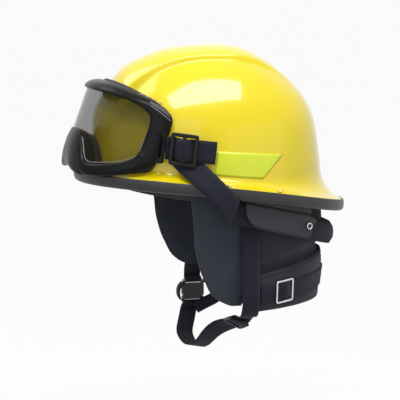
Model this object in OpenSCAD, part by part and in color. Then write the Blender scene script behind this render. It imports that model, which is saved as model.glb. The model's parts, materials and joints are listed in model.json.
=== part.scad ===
// Fire helmet with goggles, ear and neck protector and chin harness.
// The helmet faces -Y, its left side is +X. The origin is the seat of the head,
// in the middle of the headband's opening. Lengths are in millimetres.

/* [Shell] */
// Length of the brim's edge, front to back
brim_l = 298; // [286:1:310]
// Width of the brim's edge
brim_w = 240; // [232:1:250]
// Pitch of the brim, front end up
brim_pitch = 7.7; // [6.5:0.1:8.5]
// Height of the brim's middle over the head seat
brim_rise = 1.9; // [0:0.1:4]
// Rise of the brim's sides over its ends
brim_saddle = 8.7; // [7:0.1:10]
// Length of the dome at its base
dome_l = 263; // [256:1:270]
// Width of the dome at its base
dome_w = 212; // [207:1:217]
// Height of the dome over the head seat
dome_h = 160.6; // [154:0.1:168]
// Thickness of the shell
shell_t = 3; // [2.5:0.1:3.5]
// Height of the raised comb
comb_h = 4.5; // [3:0.1:6]
// Width of the raised comb
comb_w = 93; // [80:1:105]

/* [Trim] */
// Height of the rubber edge trim
trim_h = 13; // [12:0.5:15]
// Thickness of each wall of the trim
trim_t = 2.4; // [2:0.1:3]

/* [Inner fittings] */
// Thickness of the impact liner
liner_t = 14; // [12:0.5:16]
// Room between the liner and the head opening, front and rear
room_l = 15.1; // [13:0.1:17]
// Room between the liner and the head opening, at the sides
room_w = 10.6; // [9:0.1:12]
// Height of the headband
band_h = 30; // [26:1:32]
// Width of the crown straps
crown_w = 19; // [16:1:20]
// Module of the ratchet's teeth
gear_m = 1.5; // [1.3:0.05:1.6]
// Diameter of the ratchet's knob
knob_d = 34; // [30:1:38]

/* [Ear and neck protector] */
// Drop of the ear flaps below the head seat
flap_drop = 118; // [110:1:125]
// Width of an ear flap at its top, front to back
flap_w = 62; // [56:1:66]
// Drop of the neck curtain below the head seat
curtain_drop = 122; // [115:1:128]
// Thickness of the curtain's cloth
cloth_t = 2.6; // [2:0.1:3]

/* [Goggles] */
// Stand-off of the lens from the dome's front
goggle_stand = 23; // [20:0.5:26]
// Height of the goggles' middle over the head seat
lens_mid = 80; // [77:1:83]
// Width of the goggle frame's rim at its sides
rim_w = 10.5; // [9:0.5:12]
// Thickness of the lens
lens_t = 2; // [1.6:0.1:2.2]
// Lean of the lens
lens_lean = 20; // [18:0.5:22]
// Width of the goggle strap
strap_w = 25; // [24:0.5:28]
// Thickness of the goggle strap
strap_t = 1.6; // [1.2:0.1:1.8]

/* [Chin harness] */
// Width of the chin webbing
chin_w = 19; // [17:0.5:20]
// Thickness of the chin webbing
chin_t = 1.4; // [1.2:0.1:1.6]

/* [Hidden] */

// Air left between pieces that seat against each other
seat = 0.4;
shell_yellow = "gold";
rubber_black = "dimgray";
cloth_gray = "slategray";
webbing_navy = "midnightblue";

// Exponent of the dome's profile, and the shift of its middle with height
dome_n = 2.4;
dome_set = 4;
dome_lean = 8;
// Lip of the brim above and below the trim's middle
lip_up = 6;
lip_down = 4;
// Spread of the flare between dome and brim, at the sides and at the rear
flare_side = [3, 12];
flare_rear = [14, 34];
flare_steps = 4;
dome_steps = 9;
shell_turns = 72;
// Soft step, front corner, foot and rear fade of the comb
comb_soft = 12;
comb_peak = 3;
comb_corner = 97;
comb_low = 62;
comb_end = 95;
comb_fade = 80;

function unit(v) = v/norm(v);
function clamp(t) = min(1, max(0, t));
function ease(t) = let(c = clamp(t)) c*c*(3 - 2*c);
function mix(a, b, t) = a + (b - a)*t;
function flip_x(p) = [-p.x, p.y, p.z];
function root_n(base, n) = pow(max(0, base), 1/n);

// Brim: the middle line of the trim, at angle a from the helmet's left side
function slope_z(y) = -tan(brim_pitch)*y;
function rim_out(a) = unit([cos(a)/brim_w, sin(a)/brim_l, 0]);
function rim(a, off, dz) =
  let(y = brim_l/2*sin(a))
  [brim_w/2*cos(a), y, brim_rise + slope_z(y) + brim_saddle*pow(cos(a), 2) + dz] + off*rim_out(a);
// A point inside or outside the rim's plan at length y, on the left side
function rim_side(y, off, z) =
  [(brim_w/2 + off)*cos(asin(y/(brim_l/2 + off))), y, z];

// Dome: superelliptic in height, elliptic in plan
function dome_th(z) = asin(pow(clamp(z/dome_h), dome_n/2));
function dome_mid(z) = -dome_set - dome_lean*clamp(z/dome_h);
function dome_at(a, th, off, raised) =
  let(k = pow(cos(th), 2/dome_n), s = pow(sin(th), 2/dome_n),
      p = [dome_w/2*k*cos(a), dome_l/2*k*sin(a) + dome_mid(dome_h*s), dome_h*s],
      n = unit([pow(k, dome_n - 1)*cos(a)/dome_w, pow(k, dome_n - 1)*sin(a)/dome_l,
                pow(s, dome_n - 1)/(2*dome_h)]))
  p + n*(off + (raised ? comb(p) : 0));
function comb(p) =
  let(side = ease((comb_w/2 + comb_soft/2 - abs(p.x))/comb_soft),
      foot = ease((p.z - comb_low)/30),
      tail = ease((comb_end - p.y)/comb_fade),
      peak = comb_peak*exp(-pow((p.y + comb_corner)/15, 2)))
  side*foot*(comb_h*tail + peak);
// The point of the dome's side at length y and height z, on the left
function dome_side(y, z, off) =
  let(k = pow(cos(dome_th(z)), 2/dome_n), s = (y - dome_mid(z))/(dome_l/2*k))
  [dome_w/2*k*sqrt(max(0.01, 1 - s*s)) + off, y, z];
// The point of the dome behind p, seen from the dome's axis
function dome_foot(p, off) =
  let(a = atan2((p.y - dome_mid(p.z))/dome_l, p.x/dome_w),
      z = max(p.z, brim_top(a) + flare_rise(a).y + 2))
  dome_at(a, dome_th(z), off, true);
function flare_rise(a) = mix(flare_side, flare_rear, pow(max(0, sin(a)), 2));
function brim_top(a) = rim(a, 0, lip_up).z;

// Signed volume of a closed triangle mesh, negative for faces that wind clockwise
function mesh_volume(points, faces) =
  let(parts = [for (f = faces) points[f[0]]*cross(points[f[1]], points[f[2]])])
  parts*[for (f = faces) 1]/6;

// Solid from a closed triangle mesh of either winding
module solid(points, faces) {
  turned = [for (f = faces) [f[0], f[2], f[1]]];
  polyhedron(points, mesh_volume(points, faces) < 0 ? faces : turned);
}

// Skin over a row of closed sections, open at its ends or joined into a loop
module skin(rows, loop = false) {
  m = len(rows);
  n = len(rows[0]);
  points = [for (r = rows) each r];
  ends = [for (r = [rows[0], rows[m - 1]]) [for (i = [0:n - 1]) 1]*r/n];
  sides = [for (i = [0:loop ? m - 1 : m - 2], j = [0:n - 1])
    let(a = i*n + j, b = i*n + (j + 1)%n, c = ((i + 1)%m)*n + (j + 1)%n, d = ((i + 1)%m)*n + j)
    each [[a, b, c], [a, c, d]]];
  caps = loop ? [] : [for (j = [0:n - 1])
    each [[m*n, (j + 1)%n, j], [m*n + 1, (m - 1)*n + j, (m - 1)*n + (j + 1)%n]]];
  solid(loop ? points : concat(points, ends), concat(sides, caps));
}

// Closed slab between an outer and an inner grid of points
module slab(outer, inner) {
  m = len(outer);
  n = len(outer[0]);
  o = m*n;
  points = concat([for (r = outer) each r], [for (r = inner) each r]);
  grid = [for (i = [0:m - 2], j = [0:n - 2])
    let(a = i*n + j, b = a + 1, c = a + n + 1, d = a + n)
    each [[a, b, c], [a, c, d], [o + a, o + c, o + b], [o + a, o + d, o + c]]];
  rows = [for (i = [0:m - 2], j = [0, n - 1])
    let(a = i*n + j, d = a + n)
    each (j == 0 ? [[a, d, o + d], [a, o + d, o + a]] : [[a, o + d, d], [a, o + a, o + d]])];
  cols = [for (j = [0:n - 2], i = [0, m - 1])
    let(a = i*n + j, b = a + 1)
    each (i == 0 ? [[a, o + b, b], [a, o + a, o + b]] : [[a, b, o + b], [a, o + b, o + a]])];
  solid(points, concat(grid, rows, cols));
}

// Smooth row of points through hand-chosen ones, n steps between each two
function spline(p, n) =
  let(m = len(p) - 1)
  [for (i = [0:m - 1], k = [0:n - 1])
    let(a = p[max(i - 1, 0)], b = p[i], c = p[i + 1], d = p[min(i + 2, m)], t = k/n)
    0.5*(2*b + (c - a)*t + (2*a - 5*b + 4*c - d)*t*t + (3*b - a - 3*c + d)*t*t*t), p[m]];

// Sections of a flat strap along a route; wide gives the way its width points
function strap_rows(route, wide, w, t) =
  let(m = len(route) - 1)
  [for (i = [0:m])
    let(ahead = unit(route[min(i + 1, m)] - route[max(i - 1, 0)]),
        u = is_list(wide[0]) ? wide[i] : wide,
        b = unit(u - ahead*(u*ahead)), n = cross(ahead, b), c = route[i])
    [c + b*w/2 + n*t/2, c - b*w/2 + n*t/2, c - b*w/2 - n*t/2, c + b*w/2 - n*t/2]];

module webbing(route, wide, w, t, from = 0, to = -1) {
  rows = strap_rows(route, wide, w, t);
  last = to < 0 ? len(rows) - 1 : to;
  skin([for (i = [from:last]) rows[i]]);
}

module mirrored() {
  children();
  mirror([1, 0, 0]) children();
}

// Tips what hangs from the brim's plane
module pitched() {
  rotate([-brim_pitch, 0, 0]) children();
}

function pitched_point(p) =
  [p.x, p.y*cos(brim_pitch) + p.z*sin(brim_pitch), -p.y*sin(brim_pitch) + p.z*cos(brim_pitch)];

// Shell

function shell_column(a, inner) =
  let(side = inner ? -shell_t/2 : shell_t/2,
      off = inner ? -shell_t : 0,
      foot = rim(a, side, -lip_down),
      turn = rim(a, side, inner ? lip_up - shell_t : lip_up),
      rise = flare_rise(a),
      bend = dome_at(a, dome_th(brim_top(a) + rise.x), off, true),
      th = dome_th(brim_top(a) + rise.y),
      wall = dome_at(a, th, off, true))
  concat([foot, turn],
    [for (i = [1:flare_steps]) let(t = i/flare_steps) turn*(1 - t)*(1 - t) + 2*bend*t*(1 - t) + wall*t*t],
    [for (i = [1:dome_steps]) dome_at(a, mix(th, 86, pow(i/dome_steps, 1.3)), off, true)]);

module shell() {
  outer = [for (i = [0:shell_turns - 1]) shell_column(360*i/shell_turns, false)];
  inner = [for (i = [0:shell_turns - 1]) shell_column(360*i/shell_turns, true)];
  last = len(outer[0]) - 1;
  color(shell_yellow) skin(concat(
    [for (k = [last:-1:0]) [for (c = inner) c[k]]],
    [for (k = [0:last]) [for (c = outer) c[k]]]));
}

// U section, open at the top, pressed on the brim's lip
module edge_trim() {
  g = shell_t/2 + 0.15;
  r = g + trim_t;
  h = trim_h/2;
  low = lip_down + 0.3;
  section = [[g, h - 0.6], [g + trim_t*0.6, h], [r, h - 1.6], [r, 2.5 - h], [g - 0.4, -h],
             [0.4 - g, -h], [-r, 2.5 - h], [-r, 1], [-g - trim_t*0.5, 2], [-g, 1], [-g, -low], [g, -low]];
  color(rubber_black) skin([for (i = [0:shell_turns - 1])
    [for (s = section) rim(360*i/shell_turns, s.x, s.y)]], loop = true);
}

// Rivets through the flare, one pair a side, which carry the keeper's hanger
rivet_d = 5;
rivet_y = [-10, 48];

module brim_rivets() {
  color("darkgoldenrod") mirrored() for (y = rivet_y) {
    a = asin(y/(brim_l/2));
    translate(rim(a, -2.2, lip_up + 1.9)) cylinder(h = 1.6, d1 = rivet_d, d2 = rivet_d*0.6, $fn = 24);
  }
}

// Reflective trapezoid on the dome's side: front, rear foot and rear top
patch_y = [-24, 34, 56];
patch_z = [22, 48.5];
patch_t = 0.5;
patch_lift = 0.4;

module reflective() {
  nu = 12;
  grid = [for (lift = [patch_lift, patch_lift + patch_t]) [for (i = [0:nu]) [for (j = [0:2])
    let(v = j/2, y = mix(patch_y[0], mix(patch_y[1], patch_y[2], v), i/nu),
        z = mix(patch_z[0], patch_z[1], v) + slope_z(y - patch_y[1]),
        a = asin(clamp((y - dome_mid(z))/(dome_l/2) + 1) - 1),
        low = brim_top(a) + flare_rise(a).y)
    dome_side(y, max(z, low), lift)]]];
  color("greenyellow") slab(grid[1], grid[0]);
}

module reflective_left() { reflective(); }
module reflective_right() { mirror([1, 0, 0]) reflective(); }

// Impact liner: a foam cap with a sloping foot, inside the dome
liner_z = 24;
liner_turns = 40;
function liner_low(y) = liner_z + slope_z(y);

module impact_liner() {
  out = -shell_t - seat - 0.2;
  rows = [for (inner = [1, 0])
    let(n = inner == 1 ? 7 : 8, off = out - inner*liner_t)
    [for (k = [0:n]) [for (i = [0:liner_turns - 1])
      let(a = 360*i/liner_turns, th = dome_th(liner_low(dome_l/2*sin(a))),
          p = dome_at(a, mix(th, 84, pow(k/n, 1.5)), off, false))
      k == 0 ? [p.x, p.y, liner_low(p.y)] : p]]];
  color("lightgray") skin(concat([for (k = [len(rows[0]) - 1:-1:0]) rows[0][k]], rows[1]));
}

// Crown suspension: six keys on the liner carry three straps and the headband
key_w = 14;
key_t = 2;
key_bow = 2.5;
crown_gap = 24;
key_angles = [30, 90, 150, 210, 270, 330];
key_up = 14;
band_t = 2;
liner_in = shell_t + seat + liner_t;
// Head opening, inside the headband
head_l = dome_l - 2*(liner_in + room_l);
head_w = dome_w - 2*(liner_in + room_w);

function band_at(a, off, z) =
  pitched_point([(head_w/2 + off)*cos(a), (head_l/2 + off)*sin(a), z]);
function along(a) = unit([-dome_w*sin(a), dome_l*cos(a), 0]);
// Angle on the headband beside the key at a
function fork_a(a) = let(q = dome_at(a, key_low(a), -liner_in - 8, false)) atan2(q.y/head_l, q.x/head_w);
function key_low(a) = dome_th(liner_low(dome_l/2*sin(a)) + 8);
function key_top(a) = dome_th(liner_low(dome_l/2*sin(a)) + 8 + key_up);

module crown_keys() {
  hang = band_t + key_t/2 + 0.7;
  color("darkslategray") for (a = key_angles) {
    off = -liner_in - key_bow - key_t/2;
    lug = [for (t = [1, 0.5, 0]) dome_at(a, mix(key_low(a), key_top(a), t), off, false)];
    b = fork_a(a);
    fork = concat([band_at(b, hang + 2.5, band_top + 2)],
                  [for (low = [4, 12]) band_at(b, hang, band_top - low)]);
    webbing(a == 90 ? lug : concat(lug, fork), along(a), key_w, key_t);
  }
}

module crown_strap(a, level) {
  off = liner_in + key_bow + key_t + 0.3 + 1.1;
  drop = crown_gap - liner_t + 6 + 2.4*level;
  n = 9;
  th = [key_top(a) - 4, key_top(a + 180) - 4];
  route = concat(
    [for (i = [0:n]) dome_at(a, mix(th[0], 90, i/n), -off - drop*ease(1.6*i/n), false)],
    [for (i = [n - 1:-1:0]) dome_at(a + 180, mix(th[1], 90, i/n), -off - drop*ease(1.6*i/n), false)]);
  color(webbing_navy) webbing(route, along(a), crown_w, 1.2);
}

module crown_strap_a() { crown_strap(30, 0); }
module crown_strap_b() { crown_strap(90, 1); }
module crown_strap_c() { crown_strap(150, 2); }

// Headband: an open band in front, with a leg at each rear end for the nape ratchet
band_low = -7;
band_top = band_low + band_h;
leg_x = 46;
leg_w = 16;
leg_t = 2;
leg_y = head_l/2*sqrt(1 - pow(leg_x/(head_w/2), 2));
nape_z = -40;
arm_t = 1.6;
arm_h = 26;
arm_gap = 0.3;
arm_far = 60;

function arm_y(k) = leg_y + leg_t + arm_gap + k*(arm_t + arm_gap);

module headband() {
  n = 48;
  rear = acos(leg_x/(head_w/2));
  span = 360 - 2*(90 - rear);
  arc = [for (i = [0:n]) rear - span*i/n];
  ring = concat(
    [for (a = arc) [(head_w/2 + band_t)*cos(a), (head_l/2 + band_t)*sin(a)]],
    [for (i = [n:-1:0]) [head_w/2*cos(arc[i]), head_l/2*sin(arc[i])]]);
  leg = [[leg_x + 4, band_top], [leg_x - 6, band_top], [leg_x - 8, nape_z + arm_h/2 + 4],
         [leg_x - 6, nape_z - arm_h/2 - 3], [leg_x + 6, nape_z - arm_h/2 - 3],
         [leg_x + 8, nape_z + arm_h/2 + 4], [leg_x + 4, band_low]];
  color("black") pitched() {
    translate([0, 0, band_low]) linear_extrude(band_h) polygon(ring);
    for (k = [0, 1]) mirror([k, 0, 0]) {
      translate([0, leg_y + leg_t, 0]) rotate([90, 0, 0]) linear_extrude(leg_t) polygon(leg);
      depth = arm_y(k) + arm_t + arm_gap - leg_y;
      for (s = [-1, 1])
        translate([leg_x - 4, leg_y, nape_z + s*(arm_h/2 + 1.6) - 1.2]) cube([8, depth + 1.5, 2.4]);
      translate([leg_x - 4, leg_y + depth, nape_z - arm_h/2 - 2.8]) cube([8, 1.5, arm_h + 5.6]);
    }
  }
}

module brow_pad() {
  n = 20;
  arc = [for (i = [0:n]) 210 + 120*i/n];
  ring = concat(
    [for (a = arc) [(head_w/2 - 0.3)*cos(a), (head_l/2 - 0.3)*sin(a)]],
    [for (i = [n:-1:0]) let(t = 1.5 + 3.5*sin(180*i/n))
      [(head_w/2 - t)*cos(arc[i]), (head_l/2 - t)*sin(arc[i])]]);
  color("gray") pitched() translate([0, 0, band_low + 2]) linear_extrude(band_h - 4) polygon(ring);
}

// Ratchet at the nape: a pinion between the toothed slots of two arms
gear_z = 10;
gear_r = gear_m*gear_z/2;
gear_tip = gear_r + 0.85*gear_m;
gear_root = gear_r - 1.1*gear_m;
gear_pa = 25;
gear_play = 0.35;
shaft_d = 7;
housing_w = 68;
cover_t = 2;
slot_travel = 13;
gear_start = arm_y(0);
gear_len = 2*arm_t + arm_gap;
cover_y = gear_start + gear_len + arm_gap;

function inv_deg(r, base) = let(q = sqrt(max(0, pow(r/base, 2) - 1))) q*180/PI - atan(q);
function tooth_half(r) =
  let(base = gear_r*cos(gear_pa))
  90/gear_z - gear_play*90/PI/gear_r + inv_deg(gear_r, base) - inv_deg(max(r, base), base);

module ratchet_pinion() {
  rs = [gear_root, gear_r*cos(gear_pa), gear_r*0.97, gear_r + 0.4*gear_m, gear_tip];
  teeth = [for (i = [0:gear_z - 1]) let(mid = 90 + 360*i/gear_z) each concat(
    [for (r = rs) r*[cos(mid - tooth_half(r)), sin(mid - tooth_half(r))]],
    [for (k = [len(rs) - 1:-1:0]) let(r = rs[k]) r*[cos(mid + tooth_half(r)), sin(mid + tooth_half(r))]])];
  color("darkgray") pitched() translate([0, gear_start + gear_len, nape_z]) rotate([90, 0, 0])
    linear_extrude(gear_len) difference() {
      polygon(teeth);
      circle(d = shaft_d + 0.2, $fn = 48);
    }
}

// Slot outline of an arm, with a gap between teeth at the pinion's middle
module arm_slot() {
  pitch = PI*gear_m;
  tip = 0.85*gear_m;
  root = 1.1*gear_m;
  half = pitch/4 - gear_play/4;
  spread = tan(gear_pa);
  back = gear_tip + 1.6;
  left = -1.5*pitch - gear_tip/2;
  right = -left + slot_travel;
  count = floor((right - half - root*spread)/pitch - 0.5);
  rack = [for (i = [-2:count]) let(x = (i + 0.5)*pitch) each
    [[x - half - root*spread, gear_r + root], [x - half + tip*spread, gear_r - tip],
     [x + half - tip*spread, gear_r - tip], [x + half + root*spread, gear_r + root]]];
  polygon(concat([[left, gear_r + root]], rack, [[right, gear_r + root], [right, -back], [left, -back]]));
}

module nape_arm(k) {
  inner = -slot_travel - 5;
  y = arm_y(k);
  color("black") pitched() translate([0, y + arm_t, nape_z]) rotate([90, 0, 0]) linear_extrude(arm_t)
    scale([k == 0 ? 1 : -1, 1]) difference() {
      translate([inner, -arm_h/2]) square([arm_far - inner, arm_h]);
      mirror([0, k]) arm_slot();
    }
}

module nape_arm_left() { nape_arm(0); }
module nape_arm_right() { nape_arm(1); }

module housing_plate(h, t) {
  rotate([90, 0, 0]) linear_extrude(t)
    offset(r = 5, $fn = 48) square([housing_w - 10, h - 10], center = true);
}

screw_x = housing_w/2 - 5;
screw_z = arm_h/2 + 3.4;
housing_h = arm_h + 14;

module ratchet_housing() {
  color("dimgray") pitched() translate([0, 0, nape_z]) difference() {
    translate([0, cover_y, 0]) housing_plate(housing_h, cover_y - leg_y);
    translate([-housing_w, gear_start - arm_gap, -arm_h/2 - 0.4])
      cube([2*housing_w, cover_y, arm_h + 0.8]);
    for (x = [-screw_x, screw_x], z = [-screw_z, screw_z])
      translate([x, cover_y + 1, z]) rotate([90, 0, 0]) cylinder(h = 6, d = 2.4, $fn = 24);
  }
}

module ratchet_cover() {
  color("dimgray") pitched() translate([0, 0, nape_z]) difference() {
    translate([0, cover_y + cover_t, 0]) housing_plate(housing_h, cover_t);
    translate([0, cover_y + 5, 0]) rotate([90, 0, 0]) cylinder(h = 10, d = shaft_d + 0.6, $fn = 48);
    for (x = [-screw_x, screw_x], z = [-screw_z, screw_z])
      translate([x, cover_y + 5, z]) rotate([90, 0, 0]) cylinder(h = 10, d = 2.4, $fn = 24);
  }
}

module ratchet_screws() {
  color("silver") pitched() for (x = [-screw_x, screw_x], z = [-screw_z, screw_z])
    translate([x, cover_y + cover_t + 1.2, nape_z + z]) rotate([90, 0, 0]) {
      cylinder(h = 1.2, d = 4, $fn = 24);
      cylinder(h = 6, d = 2.2, $fn = 24);
    }
}

module ratchet_knob() {
  knob_t = 11;
  y = cover_y + cover_t + 0.3;
  color("black") pitched() translate([0, 0, nape_z]) {
    difference() {
      translate([0, y + knob_t, 0]) rotate([90, 0, 0]) cylinder(h = knob_t, d = knob_d, $fn = 72);
      for (i = [0:17]) rotate([0, i*20, 0]) translate([knob_d/2 + 1, y + knob_t + 1, 0]) rotate([90, 0, 0])
        cylinder(h = knob_t + 2, d = 4, $fn = 20);
      translate([0, y + knob_t + 1, 0]) rotate([90, 0, 0]) cylinder(h = 4, d = knob_d - 12, $fn = 48);
      for (x = [-screw_x, screw_x], z = [-screw_z, screw_z])
        translate([x, y + 1.4, z]) rotate([90, 0, 0]) cylinder(h = 3, d = 5, $fn = 24);
    }
    translate([0, y + 1, 0]) rotate([90, 0, 0]) cylinder(h = y + 1 - gear_start, d = shaft_d, $fn = 48);
  }
}

module nape_pad() {
  n = 8;
  m = 6;
  grid = [for (f = [0, 1]) [for (i = [0:n]) [for (j = [0:m])
    let(u = 2*i/n - 1, v = 2*j/m - 1, crown = (1 - pow(u, 4))*(1 - pow(v, 4)),
        x = housing_w*0.46*u*(1 - 0.12*v*v), z = housing_h*0.42*v)
    pitched_point([x, leg_y - 0.3 - f*(3 + 5*crown), nape_z + z])]]];
  color("gray") slab(grid[0], grid[1]);
}

// Ear flaps: padded cloth, crowned, round at the foot, with the rear top corner cut clear of the anchors
flap_rear = 15;
flap_x = dome_w/2 - 10;
flap_lean = 14;
flap_n = 2.6;
flap_edge = 3;
flap_crown = 5;
flap_end = 0.985;
flap_round = 12;
// The right flap hangs shorter, drawn up by the buckled strap
flap_tuck = 17;

function flap_cut(v) = 4*(1 - ease(3*v)) + flap_round*pow(v, 6);
function flap_point(u, v, drop, out) =
  let(s = flap_end*v,
      y = flap_rear - (1 - u)*flap_w*pow(1 - pow(s, flap_n), 1/flap_n) - u*flap_cut(v),
      z = mix(liner_low(y) - seat, -drop, v),
      crown = flap_edge + flap_crown*(1 - pow(2*u - 1, 4))*(1 - pow(2*v - 1, 4)),
      plan = sqrt(1 - pow(y/(dome_l/2), 2)))
  [(flap_x - flap_lean*pow(v, 2.4))*plan + (out ? 0.6 : -0.4)*crown, y, z];

module ear_flap(drop) {
  n = 10;
  m = 12;
  grid = [for (out = [true, false]) [for (i = [0:n]) [for (j = [0:m])
    flap_point(ease(i/n)*0.4 + 0.6*i/n, sin(90*j/m), drop, out)]]];
  color(cloth_gray) slab(grid[0], grid[1]);
}

module ear_flap_left() { ear_flap(flap_drop); }
module ear_flap_right() { mirror([1, 0, 0]) ear_flap(flap_drop - flap_tuck); }

// Neck curtain: profile as inset from the widest plan, by share of the drop
curtain_inset = [[0, 9], [0.2, 2], [0.4, 0], [0.5, 1.5], [0.6, 5.5], [0.72, 3.5], [1, 8]];
curtain_a = 8;
curtain_l = dome_l - 5;
curtain_w = dome_w - 12;
crease_w = 0.6;

function crease_z(y) = -85 + 0.17*y;
function curtain_foot(y) = 0.03*y - curtain_drop - 1;
function curtain_point(a, w, off) =
  let(fold = 1.3*sin(a*9)*clamp(1 - abs(w - 0.32)/0.3),
      r = off - lookup(w, curtain_inset) + fold,
      y = (curtain_l/2 + r)*sin(a),
      z = w < crease_w ? mix(liner_low(y) - seat, crease_z(y), w/crease_w)
                       : mix(crease_z(y), curtain_foot(y), (w - crease_w)/(1 - crease_w)))
  [(curtain_w/2 + r)*cos(a), y, z];

curtain_turns = 44;

module neck_curtain() {
  n = curtain_turns;
  rows = [0, 0.12, 0.24, 0.36, 0.48, 0.6, 0.72, 1];
  grid = [for (off = [0, -cloth_t]) [for (i = [0:n]) [for (w = rows)
    curtain_point(mix(curtain_a, 180 - curtain_a, i/n), w, off)]]];
  color(cloth_gray) slab(grid[0], grid[1]);
}

// Lower band of the curtain, laid over its hem
band_rows = [0.62, 0.72, 0.86, 1];

module curtain_band() {
  n = curtain_turns;
  grid = [for (off = [seat + cloth_t, seat]) [for (i = [1:n - 1]) [for (w = band_rows)
    curtain_point(mix(curtain_a, 180 - curtain_a, i/n), w, off)]]];
  color(cloth_gray) slab(grid[0], grid[1]);
}

// Nape strap with its metal slide on the lower band
nape_w = 20;
nape_share = 0.83;
nape_off = seat + cloth_t + 0.4 + 0.6;
slide_a = 28;
slide_l = 24;
slide_t = 2.4;

nape_over = 3;
nape_angles = concat([14, 18], [for (d = [-4.8, -1.2, 1.2, 4.8]) slide_a + d], [40],
                     [for (a = [50:12:158]) a], [168]);
nape_route = [for (a = nape_angles)
  curtain_point(a, nape_share, nape_off + (abs(a - slide_a) < 2 ? nape_over : 0))];
nape_wide = [for (a = nape_angles)
  curtain_point(a, nape_share - 0.1, 0) - curtain_point(a, nape_share + 0.1, 0)];

module nape_strap() {
  color(webbing_navy) webbing(spline(nape_route, 2), spline(nape_wide, 2), nape_w, 1.2);
}

// Flat slide with a middle bar: l along the strap, h across it
module tri_glide(l, h, bar, t) {
  slot = (l - 3*bar)/2;
  translate([0, 0, -t/2]) linear_extrude(t) difference() {
    offset(r = 3, $fn = 32) square([l - 6, h - 6], center = true);
    for (s = [-1, 1]) translate([s*(slot + bar)/2, 0]) square([slot, h - 2*bar], center = true);
  }
}

// Puts a slide's X along ahead, its Y up and its Z outward
module framed(origin, ahead, wide) {
  t = unit(ahead);
  b = unit(wide - t*(wide*t));
  n = cross(t, b);
  multmatrix([[t.x, b.x, n.x, origin.x], [t.y, b.y, n.y, origin.y], [t.z, b.z, n.z, origin.z], [0, 0, 0, 1]])
    children();
}

module nape_slide() {
  p = curtain_point(slide_a, nape_share, nape_off + nape_over/2);
  q = curtain_point(slide_a + 2, nape_share, 0) - curtain_point(slide_a - 2, nape_share, 0);
  color("silver") framed(p, q, nape_wide[3]) tri_glide(slide_l, nape_w + 6, 2, 1.2);
}

// Goggles: a rim swept round the lens, between the lens surface and the dome
frame_w = dome_w - 22;
lens_w = frame_w - 2*rim_w;
frame_up = 52;
frame_down = 51;
lens_up = 37;
lens_down = 40;
nose_up = 39;
nose_half = 38;
groove_deep = 2.6;
lens_seat = 1.9;
foam_share = 0.62;
foam_gap = 1.6;
frame_turns = 64;

function lens_y(x, z) =
  -dome_l/2 - dome_set - goggle_stand + 90*pow(abs(x)/(frame_w/2), 2.6) + tan(lens_lean)*(z - lens_mid);
function arch(x, h, half, n) = h*exp(-pow(abs(x)/half, n));
function rim_x(a, m) = mix(lens_w/2, frame_w/2, m)*cos(a);
function rim_z(a, m) =
  let(c = abs(cos(a)))
  lens_mid + (sin(a) >= 0
    ? mix(lens_up*root_n(1 - pow(c, 2.8), 2.8), frame_up*root_n(1 - pow(c, 2.4), 2.4), m)
    : mix(arch(rim_x(a, 0), nose_up, nose_half, 6) - lens_down*root_n(1 - pow(c, 7), 7),
          arch(rim_x(a, 1), 9, 20, 2) - frame_down*root_n(1 - pow(c, 7), 7), m));
// A point at depth d behind the lens surface, or at a share of the way to the dome
function goggle_at(x, z, d, share) =
  let(p = [x, lens_y(x, z), z], f = dome_foot(p, foam_gap), g = norm(f - p))
  p + (f - p)*(share + d/g);
function lens_edge(a, grow) =
  let(i = [rim_x(a, 0), rim_z(a, 0)], o = [rim_x(a, 1), rim_z(a, 1)])
  i + grow*unit(o - i);
function goggle_rim(a, m, grow, d, share) =
  let(i = [rim_x(a, 0), rim_z(a, 0)], o = [rim_x(a, 1), rim_z(a, 1)], k = m + grow/norm(o - i),
      p = i + (o - i)*k)
  goggle_at(p.x, p.y, d, share);

module goggle_frame() {
  back = lens_seat + lens_t + 0.6;
  color(rubber_black) skin([for (i = [0:frame_turns - 1]) let(a = 360*(i + 0.5)/frame_turns) [
    goggle_rim(a, 0, 0, 0.2, 0),
    goggle_rim(a, 0.22, 0, -1.8, 0),
    goggle_rim(a, 0.7, 0, -1.2, 0),
    goggle_rim(a, 1, -0.6, 1.5, 0.05),
    goggle_rim(a, 1, 0, 0, 0.35),
    goggle_rim(a, 0.88, 0, 0, foam_share),
    goggle_rim(a, 0.1, 0, 0, foam_share),
    goggle_rim(a, 0, 0, back, 0),
    goggle_rim(a, 0, groove_deep, back, 0),
    goggle_rim(a, 0, groove_deep, lens_seat, 0),
    goggle_rim(a, 0, 0, lens_seat, 0)]], loop = true);
}

module goggle_lens() {
  n = frame_turns/2 - 3;
  m = 5;
  edge = groove_deep - 0.6;
  grid = [for (d = [lens_seat + 0.3, lens_seat + 0.3 + lens_t]) [for (i = [0:n]) [for (j = [0:m])
    let(a = 360*(i + 1.5)/frame_turns,
        p = mix(lens_edge(-a, edge), lens_edge(a, edge), j/m))
    goggle_at(p.x, p.y, d, 0)]]];
  color([0.8, 0.8, 0.7, 0.35]) slab(grid[0], grid[1]);
}

module goggle_foam() {
  color("darkslategray") skin([for (i = [0:frame_turns - 1]) let(a = 360*(i + 0.5)/frame_turns) [
    goggle_rim(a, 0.16, 0, 1.3, foam_share),
    goggle_rim(a, 0.82, 0, 1.3, foam_share),
    goggle_rim(a, 0.78, 0, 0, 1),
    goggle_rim(a, 0.22, 0, 0, 1)]], loop = true);
}

// Vent covers on the frame's top corners: four ribs a side
module goggle_vents() {
  color("silver") for (side = [0, 1], k = [0:3]) {
    a = side == 0 ? 27 + 5*k : 153 - 5*k;
    grid = [for (out = [1.6, 0.35]) [for (da = [-1.3, 1.3]) [for (d = [0.42, 0.52, 0.6])
      goggle_rim(a + da, mix(1, 0.9, (d - 0.35)/0.27), out, 0, d)]]];
    slab(grid[0], grid[1]);
  }
}

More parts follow.
